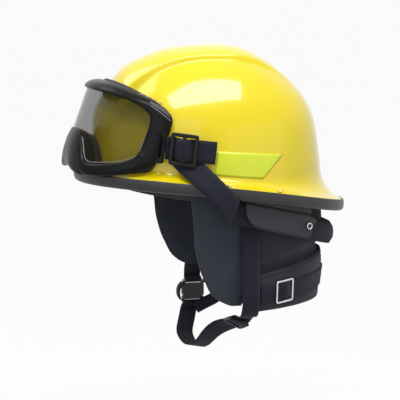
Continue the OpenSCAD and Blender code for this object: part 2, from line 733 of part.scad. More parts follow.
// Strap fittings at the frame's rear ends, in the frame of the strap slide
slide_y = lens_y(frame_w/2, lens_mid) + 11.5;
slide_z = 58;
ring_l = 30;
ring_bar = 4;
ring_t = 3;
slide_off = 10.9;
outrigger_lift = 2.8;
slide_at = dome_side(slide_y, slide_z, slide_off);
slide_ahead = dome_side(slide_y + 8, slide_z, slide_off) - dome_side(slide_y - 8, slide_z, slide_off)
              + [2, 0, -2];

module strap_fitting(side) {
  mirror([side < 0 ? 1 : 0, 0, 0]) framed(slide_at, slide_ahead, [0, 0, 1]) children();
}

module ring() {
  color(rubber_black) tri_glide(ring_l, strap_w + 2*ring_bar + 1.5, ring_bar, ring_t);
}

module strap_slide_left() { strap_fitting(1) ring(); }
module strap_slide_right() { strap_fitting(-1) ring(); }

// Plate on the frame's arm with a slot for the strap
module outrigger_plate() {
  h = strap_w + 2*ring_bar + 1;
  at = [-ring_l/2 - 9.2, 0, outrigger_lift - ring_t/2];
  color(rubber_black) translate(at) linear_extrude(ring_t) difference() {
    offset(r = 2.5, $fn = 32) square([4, h - 5], center = true);
    translate([-0.4, 0]) square([3, strap_w + 1], center = true);
  }
}

module outrigger_left() { strap_fitting(1) outrigger_plate(); }
module outrigger_right() { strap_fitting(-1) outrigger_plate(); }

function framed_point(p) =
  let(t = unit(slide_ahead), u = [0, 0, 1], b = unit(u - t*(u*t)), n = cross(t, b))
  slide_at + t*p.x + b*p.y + n*p.z;

// The strap's doubled end: under the slide's end bars, over its middle bar
tail_end = 37;

function tail_route() =
  let(low = -ring_t/2 - strap_t/2 - 0.7)
  concat([for (p = [[-19.6, outrigger_lift - 2.7], [-15.5, low], [-10.4, low], [-3, -low], [3, -low],
                    [10.4, low], [15, low]]) framed_point([p.x, 0, p.y])],
    [for (q = [[21, 9.6], [29, 7.8], [tail_end, 5.4]])
      let(p = framed_point([q.x, 0, low])) dome_side(p.y, p.z, q.y)]);

module strap_tail() {
  color(webbing_navy) webbing(spline(tail_route(), 3), [0, 0, 1], strap_w - 1, strap_t);
}

module strap_tail_left() { strap_tail(); }
module strap_tail_right() { mirror([1, 0, 0]) strap_tail(); }

// Goggle strap: from under the slide, out over the brim, in below it and round the nape
strap_in = 8.2;
strap_steps = 4;

function strap_z(a) = -12 - 38*pow(max(0, sin(a)), 1.3);
function strap_around(a) =
  let(w = brim_w/2 - strap_in, l = brim_l/2 - strap_in) [w*cos(a), l*sin(a), strap_z(a)];
// Way of the strap's width where it lies on the dome at y and z
function dome_wide(y, z) = dome_side(y + 7, z + 6, 0) - dome_side(y - 7, z - 6, 0);
strap_rear = [for (a = [4.6, 14, 26, 39, 54, 72, 90, 108, 126, 141, 154, 166, 174]) strap_around(a)];
// Two points under the slide, then five on the way out over the brim: share of the way, off, height
under_slide = [[slide_y - 6, slide_z - 2, 2], [slide_y + 2, slide_z - 12, 2.4]];
over_brim = [[0.205, -2.8, 33], [0.351, 4.6, 22], [0.498, 7.4, 11], [0.674, 6, -3], [0.791, -5.8, -11]];
strap_front = concat([for (p = under_slide) dome_side(p.x, p.y, p.z)],
                     [for (p = over_brim) rim_side(mix(slide_y, strap_rear[0].y, p.x), p.y, p.z)]);
strap_far = [for (i = [len(strap_front) - 1:-1:0]) flip_x(strap_front[i])];
strap_route = spline(concat(strap_front, strap_rear, strap_far), strap_steps);
strap_split = len(strap_front)*strap_steps;
front_wide = concat([for (p = under_slide) dome_wide(p.x, p.y)],
                    [[-0.2, 0.78, 0.6], [-0.2, 0.8, 0.6], [-0.1, 0.8, 0.6], [0, 0.6, 0.8], [0, 0.25, 0.97]]);
front_ways = [for (w = front_wide) unit(w)];
strap_wide = spline(concat(front_ways, [for (p = strap_rear) [0, 0, 1]],
                           [for (i = [len(front_ways) - 1:-1:0]) flip_x(front_ways[i])]), strap_steps);

module goggle_strap(from, to) {
  color(webbing_navy) webbing(strap_route, strap_wide, strap_w, strap_t, from, to);
}

module goggle_strap_left() { goggle_strap(0, strap_split); }
module goggle_strap_rear() { goggle_strap(strap_split, len(strap_route) - 1 - strap_split); }
module goggle_strap_right() { goggle_strap(len(strap_route) - 1 - strap_split, len(strap_route) - 1); }

// Keepers: leather flaps that fold out from hangers inside the trim
keeper_t = 2.4;
keeper_h = 25;
keeper_y = [8.5, 98];
keeper_slope = 0.24;
keeper_in = strap_in - strap_t/2 - 0.5 - keeper_t/2;
hanger_in = shell_t/2 + 0.15 + trim_t + seat + 0.9;
hanger_t = 1.6;

function keeper_top(y) = 1 - keeper_slope*(y - keeper_y[0]);
function keeper_point(u, v, off) =
  let(h = keeper_h*pow(min(1, (u + 0.02)/0.14), 0.35)*pow(min(1, (1.08 - u)/0.12), 0.3),
      y = keeper_y[0] + (keeper_y[1] - keeper_y[0] - 9*v)*u)
  rim_side(y, off - keeper_in, keeper_top(y + 9*v*u) - h*v);

snap_y = 84;
snap_d = 9;
snap_hole = 6.4;
snap_foot = strap_around(asin(snap_y/(brim_l/2 - strap_in)));
snap_at = [snap_foot.x, snap_foot.y, keeper_top(snap_y) - keeper_h*0.52];
snap_out = unit([cos(asin(snap_y/(brim_l/2)))/brim_w, snap_y/(brim_l/2)/brim_l, 0]);

module snapped(lift) {
  translate(snap_at + snap_out*lift) rotate([0, 90, atan2(snap_out.y, snap_out.x)]) children();
}

module keeper() {
  n = 14;
  grid = [for (off = [keeper_t/2, -keeper_t/2]) [for (i = [0:n]) [for (v = [0, 0.3, 0.7, 1])
    keeper_point(i/n, v, off)]]];
  color("dimgray") difference() {
    slab(grid[0], grid[1]);
    snapped(-3) cylinder(h = 12, d = snap_hole, $fn = 32);
  }
}

module keeper_left() { keeper(); }
module keeper_right() { mirror([1, 0, 0]) keeper(); }

module keeper_hangers() {
  n = 12;
  grid = [for (off = [hanger_t/2, -hanger_t/2]) [for (i = [0:n]) [for (v = [0, 1])
    let(y = mix(4, keeper_y[1] - 6, i/n), a = asin(y/(brim_l/2)), p = rim(a, off - hanger_in, 0),
        low = min(keeper_top(max(p.y, keeper_y[0])) + 0.9, p.z - 6))
    [p.x, p.y, mix(p.z + lip_up - shell_t - 0.4, low, v)]]]];
  color("dimgray") mirrored() slab(grid[0], grid[1]);
}

// Snap studs stand on the strap, their caps sit on the flaps
module keeper_snaps() {
  color("silver") mirrored() snapped(strap_t/2 + 0.2) {
    cylinder(h = 0.35, d = snap_hole - 2.2, $fn = 32);
    cylinder(h = 0.5 + keeper_t, d = snap_hole - 3.4, $fn = 32);
  }
}

module snap_cap() {
  base = strap_t/2 + 0.5 + keeper_t + 0.25;
  color("silver") snapped(base) difference() {
    union() {
      cylinder(h = 1, d = snap_d, $fn = 48);
      translate([0, 0, 1]) cylinder(h = 0.8, d1 = snap_d, d2 = snap_d*0.6, $fn = 48);
    }
    translate([0, 0, -1]) cylinder(h = 1.9, d = snap_hole, $fn = 32);
  }
}

module snap_cap_left() { snap_cap(); }
module snap_cap_right() { mirror([1, 0, 0]) snap_cap(); }

// Chin harness: straps down over the ear flaps, a buckle on the right, an adjuster on the left
chin_y = 17.5;
chin_x = dome_w/2 - shell_t;
socket_at = [-72, -1, -124];
buckle_w = chin_w + 6;
buckle_t = 9;
bar_t = 3.4;
leg_strap_w = 14;
bar_turn = bar_t/2 + 0.5 + chin_t/2;
adjust_at = [63, 12.5, -137.5];
adjust_ahead = unit([-0.9, -0.3, -0.38]);
adjust_wide = [-0.3, 0.95, -0.05];
adjust_l = 16;
// Turn of a strap round a bar at height z of the buckle, up or down from it
function bar_route(z, up) =
  [for (p = [[-bar_turn, 6], [-bar_turn, 1.2], [-bar_turn*0.6, -0.4], [0, -0.8], [bar_turn*0.6, -0.4],
             [bar_turn, 1.2], [bar_turn*0.9, 6]]) socket_at + [p.x, 0, z + up*p.y]];
left_route = [[chin_x - 3.3, chin_y, 20], [chin_x - 0.4, chin_y, -8], [chin_x + 1.5, chin_y, -40],
              [chin_x + 0.8, chin_y, -75], [chin_x, chin_y + 1, -104], [chin_x - 3.5, chin_y + 1, -118],
              [chin_x - 10, chin_y + 1, -126.5], adjust_at - 20*adjust_ahead, adjust_at - 0.8*adjust_ahead];
right_route = concat([[3.3 - chin_x, chin_y, 20], [0.4 - chin_x, chin_y, -8], [-chin_x - 1.5, chin_y, -40],
                      [-chin_x - 1, chin_y - 3, -70], [-chin_x + 3, chin_y - 9, -90],
                      [-chin_x + 14.5, 3, -103], [-chin_x + 25, 0, -107.3]],
                     [for (p = bar_route(7.9, 1)) p]);
loop_route = concat([for (i = [6:-1:0]) bar_route(-15.6, -1)[i]],
                    [[-73, -5, -147], [-61, -11, -157.5], [-40, -19, -171], [-5, -17, -178],
                     [25, -10, -165], [43, 1, -149.5], adjust_at + 10*adjust_ahead,
                     adjust_at + 0.8*adjust_ahead]);
loop_wide = concat([for (i = [0:6]) [0, 1, 0]],
                   [[0.1, 1, 0], [0.2, 1, -0.1], [0.2, 1, -0.2], [0, 1, -0.2], [-0.1, 1, -0.2],
                    [-0.25, 0.95, -0.2], adjust_wide, adjust_wide]);
leg_foot = pitched_point([-leg_x, leg_y + leg_t/2, nape_z - arm_h/2 - 5.2]);
leg_route = [socket_at + [5.9, 2, -23], [-67, 12, -142], [-70, 30, -134], [-72, 48, -115], [-69, 62, -95],
             [-58, 70, -75], leg_foot - [0, 0, 5], leg_foot];
leg_wide = [[0, 0.4, -1], [0, 0.3, -1], [0, 0.5, -1], [0, 0.7, -0.9], [0.3, 0.9, -0.5], [0.8, 0.5, 0],
            [1, 0, 0], [1, 0, 0]];

module chin_strap_left() {
  color(webbing_navy) webbing(spline(left_route, 3),
    spline(concat([for (i = [0:6]) [0, 1, 0]], [adjust_wide, adjust_wide]), 3), chin_w, chin_t);
}

module chin_strap_right() {
  color(webbing_navy) webbing(spline(right_route, 3), [0, 1, 0], chin_w, chin_t);
}

// Plates that hold the chin straps' upper ends to the shell's inside
module chin_anchors() {
  color("silver") mirrored() translate([chin_x - 5.4, chin_y, 14]) rotate([0, 90, 0]) {
    translate([-5, -7, 0]) cube([10, 14, 1.2]);
    translate([0, 0, -0.8]) cylinder(h = 1, d = 5, $fn = 24);
  }
}

module chin_loop() {
  color(webbing_navy) webbing(spline(loop_route, 3), spline(loop_wide, 3), chin_w, chin_t);
}

module rear_leg() {
  color(webbing_navy) webbing(spline(leg_route, 3), spline(leg_wide, 3), leg_strap_w, chin_t);
}

// Adds the parts of a side-release buckle in its own frame: Z up, Y across, X thick
module buckle_at() {
  translate(socket_at) children();
}

module rounded_block(w, z0, z1, t, r) {
  translate([-t/2, 0, (z0 + z1)/2]) rotate([90, 0, 90]) linear_extrude(t)
    offset(r = r, $fn = 32) square([w - 2*r, z1 - z0 - 2*r], center = true);
}

module buckle_socket() {
  color(rubber_black) buckle_at() difference() {
    union() {
      rounded_block(buckle_w, -9, 5.2, buckle_t, 2);
      rounded_block(buckle_w, 1, 10.4, bar_t, 2);
    }
    rounded_block(chin_w + 1, 5.6, 8.6, buckle_t + 2, 0.4);
    translate([-2.9, -buckle_w/2 + 2.2, -10]) cube([5.8, buckle_w - 4.4, 14]);
    for (s = [-1, 1]) translate([-2, s*buckle_w/2 - 4, -5]) cube([4, 8, 7]);
  }
}

module buckle_plug() {
  prong = buckle_w/2 - 2.8;
  color(rubber_black) buckle_at() {
    difference() {
      union() {
        rounded_block(buckle_w, -13, -9.4, buckle_t - 1, 1.6);
        rounded_block(buckle_w, -18.4, -11, bar_t, 2);
      }
      rounded_block(chin_w + 1, -16.4, -13.4, buckle_t + 2, 0.6);
    }
    for (s = [-1, 1]) rotate([90, 0, 90]) translate([0, 0, -2.3]) linear_extrude(4.6)
      polygon([[s*(prong - 3.4), -10], [s*prong, -10], [s*(prong - 0.6), -4], [s*prong, -1],
               [s*(prong - 1.6), 3.2], [s*(prong - 3.4), 3.2], [s*(prong - 2.6), -4]]);
    translate([-2.3, -1.6, -10]) cube([4.6, 3.2, 12]);
  }
}

module chin_adjuster() {
  color(rubber_black) framed(adjust_at, adjust_ahead, adjust_wide) translate([0, 0, 1.9])
    tri_glide(adjust_l, chin_w + 5, 2.2, 2);
}

// Free end of the loop past the adjuster, cut to a point
module chin_tail() {
  l = 18;
  color(webbing_navy) framed(adjust_at, adjust_ahead, adjust_wide)
    translate([0, 0, 3.3]) rotate([0, 4, 0]) translate([-4, 0, 0]) linear_extrude(chin_t)
      polygon([[0, chin_w/2], [-l + 8, chin_w/2], [-l, 0], [-l + 8, -chin_w/2], [0, -chin_w/2]]);
}

shell();
edge_trim();
brim_rivets();
reflective_left();
reflective_right();
impact_liner();
crown_keys();
crown_strap_a();
crown_strap_b();
crown_strap_c();
headband();
brow_pad();
ratchet_housing();
ratchet_cover();
ratchet_screws();
ratchet_knob();
ratchet_pinion();
nape_arm_left();
nape_arm_right();
nape_pad();
ear_flap_left();
ear_flap_right();
neck_curtain();
curtain_band();
nape_strap();
nape_slide();
goggle_frame();
goggle_lens();
goggle_foam();
goggle_vents();
outrigger_left();
outrigger_right();
strap_slide_left();
strap_slide_right();
strap_tail_left();
strap_tail_right();
goggle_strap_left();
goggle_strap_right();
goggle_strap_rear();
keeper_hangers();
keeper_left();
keeper_right();
keeper_snaps();
snap_cap_left();
snap_cap_right();
chin_strap_left();
chin_strap_right();
chin_anchors();
buckle_socket();
buckle_plug();
chin_loop();
rear_leg();
chin_adjuster();
chin_tail();
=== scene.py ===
# %% [markdown]
# # A fire helmet with goggles
# A structural fire helmet is a hard shell with a rubber trim. Goggles are strapped round
# it, and cloth flaps and a curtain hang below to keep heat off the ears and neck. The packed
# CAD model gives every piece its place and size. This lesson dresses it: most pieces are
# smooth forms laid over the CAD solids, and each gets a material built from nodes. All
# lengths are in metres. The helmet faces -Y and its left side is +X.

# %% Load the frame
import heapq
import json
import math
import bmesh
import bpy
from mathutils import Matrix, Vector
from mathutils.bvhtree import BVHTree


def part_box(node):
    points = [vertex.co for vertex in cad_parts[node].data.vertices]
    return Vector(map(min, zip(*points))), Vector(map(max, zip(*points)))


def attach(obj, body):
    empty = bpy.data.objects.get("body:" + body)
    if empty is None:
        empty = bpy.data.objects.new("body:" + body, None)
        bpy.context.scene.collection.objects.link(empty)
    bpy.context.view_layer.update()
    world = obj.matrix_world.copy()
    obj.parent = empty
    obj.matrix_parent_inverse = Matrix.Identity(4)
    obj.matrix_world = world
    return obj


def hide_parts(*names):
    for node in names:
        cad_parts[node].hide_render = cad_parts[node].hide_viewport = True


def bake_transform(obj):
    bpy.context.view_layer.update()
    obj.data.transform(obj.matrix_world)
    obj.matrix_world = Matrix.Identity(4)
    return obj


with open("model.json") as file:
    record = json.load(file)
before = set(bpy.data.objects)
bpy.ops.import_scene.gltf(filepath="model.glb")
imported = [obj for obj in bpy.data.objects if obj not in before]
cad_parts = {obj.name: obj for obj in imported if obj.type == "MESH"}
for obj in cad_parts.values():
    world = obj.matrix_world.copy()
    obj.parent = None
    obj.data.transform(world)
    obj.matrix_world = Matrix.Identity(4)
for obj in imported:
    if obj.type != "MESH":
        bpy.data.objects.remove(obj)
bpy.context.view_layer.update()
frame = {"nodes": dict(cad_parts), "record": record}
home = {node: body for body, nodes in frame["record"]["behaviour"]["bodies"].items() for node in nodes}
slot_of = {s["node"]: s["material_slot"] for s in frame["record"]["subparts"]}
SIDES = (("left", 1), ("right", -1))

# %% [markdown]
# ## The camera
# The photograph was taken with a long lens, a little above the helmet's middle and fifteen
# degrees in front of its left side. The camera comes first, so that every later choice is
# judged in the photograph's own frame.

# %% Camera
def placed(name, data):
    """A new object in the scene."""
    thing = bpy.data.objects.new(name, data)
    bpy.context.scene.collection.objects.link(thing)
    return thing


def look_from(azimuth, elevation, distance, lens, aside, above):
    a, e = math.radians(azimuth), math.radians(elevation)
    back = Vector((math.sin(a) * math.cos(e), -math.cos(a) * math.cos(e), math.sin(e)))
    right = Vector((math.cos(a), math.sin(a), 0))
    data = bpy.data.cameras.new("camera")
    data.lens, data.sensor_width = lens, 36
    cam = placed("camera", data)
    cam.location = back * distance + right * aside + back.cross(right) * above
    cam.rotation_mode = "QUATERNION"
    cam.rotation_quaternion = (-back).to_track_quat("-Z", "Y")
    bpy.context.scene.camera = cam
    return cam


camera = look_from(azimuth=75, elevation=8, distance=2.0, lens=160.7, aside=-0.0109, above=-0.0112)
print("camera at", [round(v, 3) for v in camera.location])

# %% [markdown]
# ## Shader maths
# A material is a small sum of patterns. Written as plain expressions it stays readable, so
# one class wraps a node's socket and turns each operator into a Math node. A second class
# holds one material and adds any other node to it.

# %% Socket arithmetic
TURN = 2 * math.pi


def operator(operation):
    """A method that feeds its own wire, and any other value, to one Math node."""
    return lambda wire, *others: wire.maths(operation, wire, *others)


class Wire:
    """One output socket, with operators and methods that add Math nodes."""

    def __init__(self, tree, end):
        self.tree, self.end = tree, end

    def maths(self, operation, *values):
        node = self.tree.nodes.new("ShaderNodeMath")
        node.operation = operation
        for socket, value in zip(node.inputs, values):
            plug(self.tree, socket, value)
        return Wire(self.tree, node.outputs[0])

    def __rsub__(self, other):
        return self.maths("SUBTRACT", other, self)

    __add__, __sub__, __mul__ = operator("ADD"), operator("SUBTRACT"), operator("MULTIPLY")
    size, sine = operator("ABSOLUTE"), operator("SINE")
    least, most = operator("MINIMUM"), operator("MAXIMUM")
    over, under = operator("GREATER_THAN"), operator("LESS_THAN")

    def swing(self, pitch):
        """A sine from -1 to 1 that repeats every pitch."""
        return (self * (TURN / pitch)).sine()

    def wave(self, pitch):
        """A sine from 0 to 1 that repeats every pitch."""
        return self.swing(pitch) * 0.5 + 0.5


def plug(tree, socket, value):
    """Feeds a socket: a wire is linked, and a constant is set on the socket itself."""
    if isinstance(value, Wire):
        tree.links.new(value.end, socket)
    else:
        socket.default_value = value


def outputs(tree, node):
    """A function from the name of a node's output to its wire."""
    return lambda output: Wire(tree, node.outputs[output])


# %% One material
class Finish:
    """A material with one Principled shader, and one method that adds any node.

    The words of fixed, of set and of add's values are socket names, with _ for a space."""

    def __init__(self, name, color, roughness, **fixed):
        self.material = bpy.data.materials.new(name)
        self.material.use_nodes = True
        self.tree = self.material.node_tree
        self.shader = self.tree.nodes["Principled BSDF"]
        self.color = (*color, 1)
        self.set(Base_Color=self.color, Roughness=roughness, **fixed)
        place = self.add("TexCoord")
        self.place, self.uv = place("Object"), place("UV")
        axes = self.add("SeparateXYZ", Vector=self.place)
        self.x, self.y, self.z = axes("X"), axes("Y"), axes("Z")

    def set(self, **values):
        for name, value in values.items():
            plug(self.tree, self.shader.inputs[name.replace("_", " ")], value)

    def add(self, kind, settings=(), **values):
        node = self.tree.nodes.new("ShaderNode" + kind)
        for name, value in dict(settings).items():
            setattr(node, name, value)
        for name, value in values.items():
            plug(self.tree, node.inputs[name.replace("_", " ")], value)
        return outputs(self.tree, node)

    def noise(self, scale, detail=3.0):
        return self.add("TexNoise", Vector=self.place, Scale=scale, Detail=detail)("Fac")

    def cells(self, scale):
        """Distance to the edge of irregular cells."""
        voronoi = self.add("TexVoronoi", {"feature": "DISTANCE_TO_EDGE"}, Vector=self.place, Scale=scale)
        return voronoi("Distance")

    def tint(self, amount, color):
        """Base colour moved towards another by a share that varies over the surface."""
        links = self.shader.inputs["Base Color"].links
        first = Wire(self.tree, links[0].from_socket) if links else self.color
        mix = self.add("Mix", {"data_type": "RGBA"}, Factor=amount, A=first, B=(*color, 1))
        self.set(Base_Color=mix("Result"))

    def relief(self, height, distance, strength=1.0):
        self.set(Normal=self.add("Bump", Height=height, Distance=distance, Strength=strength)("Normal"))


def made(*finishes):
    print("made", *(finish.material.name for finish in finishes))


print("shader helpers ready")

# %% [markdown]
# ## Shell paint and rubber
# The shell is moulded composite with a thick gloss coat. Its colour is even, so the life is
# in the reflection: a faint orange peel, and hair scratches that dull the gloss in places.
# The trim is extruded rubber, smooth and only slightly shiny, with dust in its pores.

# %% Shell, trim and reflective sheet
shell_paint = Finish("shell_paint", (0.64, 0.515, 0.005), 0.24, Specular_IOR_Level=0.2,
                     Coat_Weight=1.0, Coat_Roughness=0.05, Coat_IOR=1.34)
peel = shell_paint.noise(260.0, 2.0)
scuffs = (shell_paint.noise(35.0, 6.0) - 0.62).most(0.0)
shell_paint.relief(peel, 0.00006, 0.5)
shell_paint.set(Roughness=scuffs * 0.9 + 0.2)
shell_paint.tint(shell_paint.noise(9.0, 4.0) * 0.10, (0.58, 0.42, 0.003))

trim_rubber = Finish("trim_rubber", (0.014, 0.014, 0.015), 0.38, Specular_IOR_Level=0.4)
pores = trim_rubber.noise(900.0, 4.0)
trim_rubber.relief(pores + trim_rubber.noise(60.0) * 0.6, 0.0002, 0.5)
trim_rubber.set(Roughness=pores * 0.2 + 0.3)
trim_rubber.tint(trim_rubber.noise(40.0, 5.0) * 0.35, (0.045, 0.044, 0.043))

reflective_sheet = Finish("reflective_sheet", (0.55, 0.62, 0.012), 0.35, Coat_Weight=0.2, Coat_Roughness=0.15)
cell = reflective_sheet.cells(420.0)
reflective_sheet.relief(cell, 0.0002, 0.35)
reflective_sheet.tint(cell.under(0.08) * 0.25, (0.36, 0.48, 0.02))
made(shell_paint, trim_rubber, reflective_sheet)

# %% [markdown]
# ## Webbing and elastic
# Webbing is woven flat, with a herringbone of thick yarns and a tight edge. The pattern must
# follow the strap as it bends, so it reads the strap's own map: one coordinate runs along
# the strap, the other across it, both in metres.

# %% Woven finishes
def woven(name, color, light, pitch, rib_pitch, width):
    """Webbing whose yarns repeat every pitch along it, and whose ribs repeat across it."""
    finish = Finish(name, color, 0.82, Sheen_Weight=0.08, Sheen_Roughness=0.5, Specular_IOR_Level=0.15)
    axes = finish.add("SeparateXYZ", Vector=finish.uv)
    along, across = axes("X"), axes("Y")
    ribs = across * (1 / rib_pitch)
    zigzag = ribs.maths("PINGPONG", ribs, 1.0)
    yarn = (along * (TURN / pitch) + zigzag * (TURN * 0.9)).sine() * 0.5 + 0.5
    rib = across.wave(rib_pitch)
    edge = ((across - width / 2).size() * (2 / width)).over(0.93)
    finish.relief(yarn * 0.6 + rib * 0.4 + edge * 0.5 + finish.noise(1500.0, 2.0) * 0.3, 0.0005, 0.8)
    finish.tint(yarn * 0.5 + finish.noise(70.0, 3.0) * 0.25, light)
    finish.set(Roughness=0.9 - yarn * 0.12)
    return finish


webbing = woven("webbing", (0.007, 0.0075, 0.014), (0.022, 0.024, 0.042), 0.0016, 0.0030, 0.019)
elastic = woven("elastic", (0.0065, 0.007, 0.013), (0.019, 0.021, 0.038), 0.0011, 0.0022, 0.025)
made(webbing, elastic)

# %% [markdown]
# ## Cloth
# The flaps and the curtain are flame-resistant twill over padding. At arm's length twill is
# a fine diagonal; from further off, only its soft shading and slight colour changes show.
# The diagonal is a sine of the sum of the coordinates.

# %% Twill
def twill(name, color, light):
    finish = Finish(name, color, 0.9, Sheen_Weight=0.15, Sheen_Roughness=0.45, Specular_IOR_Level=0.15)
    diagonal = (finish.y + finish.x + finish.z).wave(0.0021)
    weft = (finish.z - finish.y).wave(0.0013)
    fuzz = finish.noise(1200.0, 3.0)
    crumple = finish.noise(26.0, 3.0)
    finish.relief(diagonal * 0.35 + weft * 0.2 + fuzz * 0.4 + crumple * 3.0, 0.0007, 0.75)
    finish.tint(diagonal * 0.3 + crumple * 0.45, light)
    finish.tint(fuzz.over(0.68) * 0.2, (light[0] * 1.6, light[1] * 1.6, light[2] * 1.5))
    finish.set(Roughness=0.95 - diagonal * 0.08)
    return finish


flap_cloth = twill("flap_cloth", (0.032, 0.037, 0.050), (0.052, 0.059, 0.078))
curtain_cloth = twill("curtain_cloth", (0.024, 0.027, 0.036), (0.040, 0.044, 0.057))
band_cloth = twill("band_cloth", (0.024, 0.027, 0.036), (0.042, 0.046, 0.058))
pad_cloth = twill("pad_cloth", (0.060, 0.060, 0.066), (0.10, 0.10, 0.11))
made(flap_cloth, curtain_cloth, band_cloth, pad_cloth)

# %% [markdown]
# ## Plastics, leather, metal and foam
# Moulded plastic is never quite smooth: its grain comes from the mould, and handling
# polishes the high spots. Leather has cells of many sizes. Plated steel carries fine
# brushing, and foams are full of beads or open pores.

# %% Moulded plastics
def moulded(name, color, roughness, worn, shine=0.28):
    """Plastic with a mould's grain, whose high spots are worn to a second colour."""
    finish = Finish(name, color, roughness, Specular_IOR_Level=shine)
    finish.relief(finish.noise(1400.0, 2.0), 0.00008, 0.7)
    finish.set(Roughness=finish.noise(45.0, 4.0) * 0.22 + (roughness - 0.1))
    finish.tint(finish.noise(22.0, 6.0) * 0.3, worn)
    return finish


frame_plastic = moulded("frame_plastic", (0.004, 0.004, 0.0045), 0.27, (0.010, 0.010, 0.011), shine=0.10)
ring_plastic = moulded("ring_plastic", (0.007, 0.007, 0.008), 0.30, (0.018, 0.018, 0.019), shine=0.16)
buckle_plastic = moulded("buckle_plastic", (0.024, 0.024, 0.027), 0.34, (0.06, 0.06, 0.065))
band_plastic = moulded("band_plastic", (0.022, 0.022, 0.024), 0.45, (0.05, 0.05, 0.05))
ratchet_plastic = moulded("ratchet_plastic", (0.045, 0.045, 0.048), 0.42, (0.08, 0.08, 0.08))
pinion_plastic = moulded("pinion_plastic", (0.30, 0.30, 0.29), 0.4, (0.4, 0.4, 0.38))
key_plastic = moulded("key_plastic", (0.05, 0.05, 0.055), 0.42, (0.09, 0.09, 0.09))
# Above this height the buckle is tinted pale grey: a painted highlight on its strap bar.
BUCKLE_HIGHLIGHT_LEVEL = -0.1160
buckle_plastic.tint(buckle_plastic.z.over(BUCKLE_HIGHLIGHT_LEVEL) * 0.85, (0.55, 0.55, 0.56))
print("the buckle is pale above", BUCKLE_HIGHLIGHT_LEVEL)

# %% Leather, tape and thread
leather = Finish("leather", (0.019, 0.021, 0.025), 0.5, Specular_IOR_Level=0.3)
grain = leather.cells(620.0)
leather.relief(grain.least(0.3) * 2.0 + leather.noise(90.0, 4.0), 0.0004, 0.8)
leather.tint(leather.noise(50.0, 4.0) * 0.6, (0.034, 0.038, 0.044))
leather.set(Roughness=0.62 - grain * 0.3)

binding_tape = Finish("binding_tape", (0.010, 0.011, 0.016), 0.7, Sheen_Weight=0.2)
ridge = (binding_tape.z + binding_tape.y).wave(0.0014)
binding_tape.relief(ridge + binding_tape.noise(900.0) * 0.5, 0.0003, 0.7)
binding_tape.tint(ridge * 0.35, (0.026, 0.028, 0.036))

thread = Finish("thread", (0.014, 0.015, 0.019), 0.8, Specular_IOR_Level=0.1)
thread.relief((thread.x + thread.y + thread.z).swing(0.0006), 0.0001, 0.6)
thread.tint(thread.noise(300.0) * 0.5, (0.03, 0.032, 0.038))
made(leather, binding_tape, thread)

# %% Metals
def metal(name, color, roughness):
    """Metal with brushing, a noise that is stretched by packing it along Z."""
    finish = Finish(name, color, roughness, Metallic=1.0)
    stretched = finish.add("Mapping", Vector=finish.place, Scale=(60.0, 60.0, 1500.0))("Vector")
    brushing = finish.add("TexNoise", Vector=stretched, Scale=1.0, Detail=3.0)("Fac")
    finish.relief(brushing, 0.00005, 0.6)
    finish.set(Roughness=brushing * 0.2 + (roughness - 0.1))
    finish.tint(finish.noise(120.0, 4.0) * 0.3, tuple(c * 0.7 for c in color))
    return finish


steel = metal("steel", (0.72, 0.72, 0.70), 0.28)
dark_steel = metal("dark_steel", (0.07, 0.07, 0.075), 0.38)
brass = metal("brass", (0.60, 0.45, 0.16), 0.35)
made(steel, dark_steel, brass)

# %% Foams and filter mesh
face_foam = Finish("face_foam", (0.020, 0.020, 0.022), 0.95)
open_cell = face_foam.add("TexVoronoi", Vector=face_foam.place, Scale=900.0)("Distance")
face_foam.relief(open_cell, 0.0006, 0.9)
face_foam.tint(open_cell * 0.5, (0.05, 0.05, 0.052))

bead_foam = Finish("bead_foam", (0.045, 0.045, 0.048), 0.85)
bead = bead_foam.cells(260.0)
bead_foam.relief(bead.least(0.25), 0.0008, 0.8)
bead_foam.tint(bead.under(0.06) * 0.6, (0.02, 0.02, 0.022))

filter_mesh = Finish("filter_mesh", (0.40, 0.40, 0.40), 0.35, Metallic=0.6)
weave = filter_mesh.y.swing(0.0012) * filter_mesh.z.swing(0.0012)
filter_mesh.relief(weave, 0.0004, 0.8)
filter_mesh.tint(weave.over(0.2) * 0.7, (0.08, 0.08, 0.08))
made(face_foam, bead_foam, filter_mesh)

# %% [markdown]
# ## The lens
# A lens is seen by what it takes away and by what it reflects. Face on, its near-black colour at about a
# third opacity darkens the shell behind it:
# partly the lens's own tint, and partly painted shade for the shade inside the goggles. At a low angle it
# turns into a mirror. A Layer
# Weight drives the alpha, so the near half stays open and the far half goes grey.

# %% Lens
# Near-black at about a third opacity: a light tint, and partly painted shade over the shell behind the lens.
lens_tint_and_painted_shade = Finish("lens_tint_and_painted_shade", (0.012, 0.010, 0.003), 0.05, Coat_Weight=0.08, Coat_Roughness=0.03,
                    Specular_IOR_Level=0.12)
facing = lens_tint_and_painted_shade.add("LayerWeight", Blend=0.3)("Facing")
lens_tint_and_painted_shade.set(Alpha=facing * facing * facing * 0.25 + 0.29,
               Roughness=lens_tint_and_painted_shade.noise(18.0, 4.0) * 0.06 + 0.03)
lens_tint_and_painted_shade.relief(lens_tint_and_painted_shade.noise(500.0), 0.00002, 0.3)
made(lens_tint_and_painted_shade)

# %% The finish of each slot
finish_of = {
    "shell": shell_paint, "trim": trim_rubber, "brass": brass, "reflective": reflective_sheet,
    "liner": bead_foam, "key": key_plastic, "webbing": webbing, "elastic": elastic, "band": band_plastic,
    "padding": pad_cloth, "ratchet": ratchet_plastic, "pinion": pinion_plastic, "steel": steel,
    "cloth": curtain_cloth, "frame": frame_plastic, "lens": lens_tint_and_painted_shade, "foam": face_foam,
    "vent": filter_mesh, "leather": leather, "buckle": buckle_plastic}
print("finishes", len(finish_of))

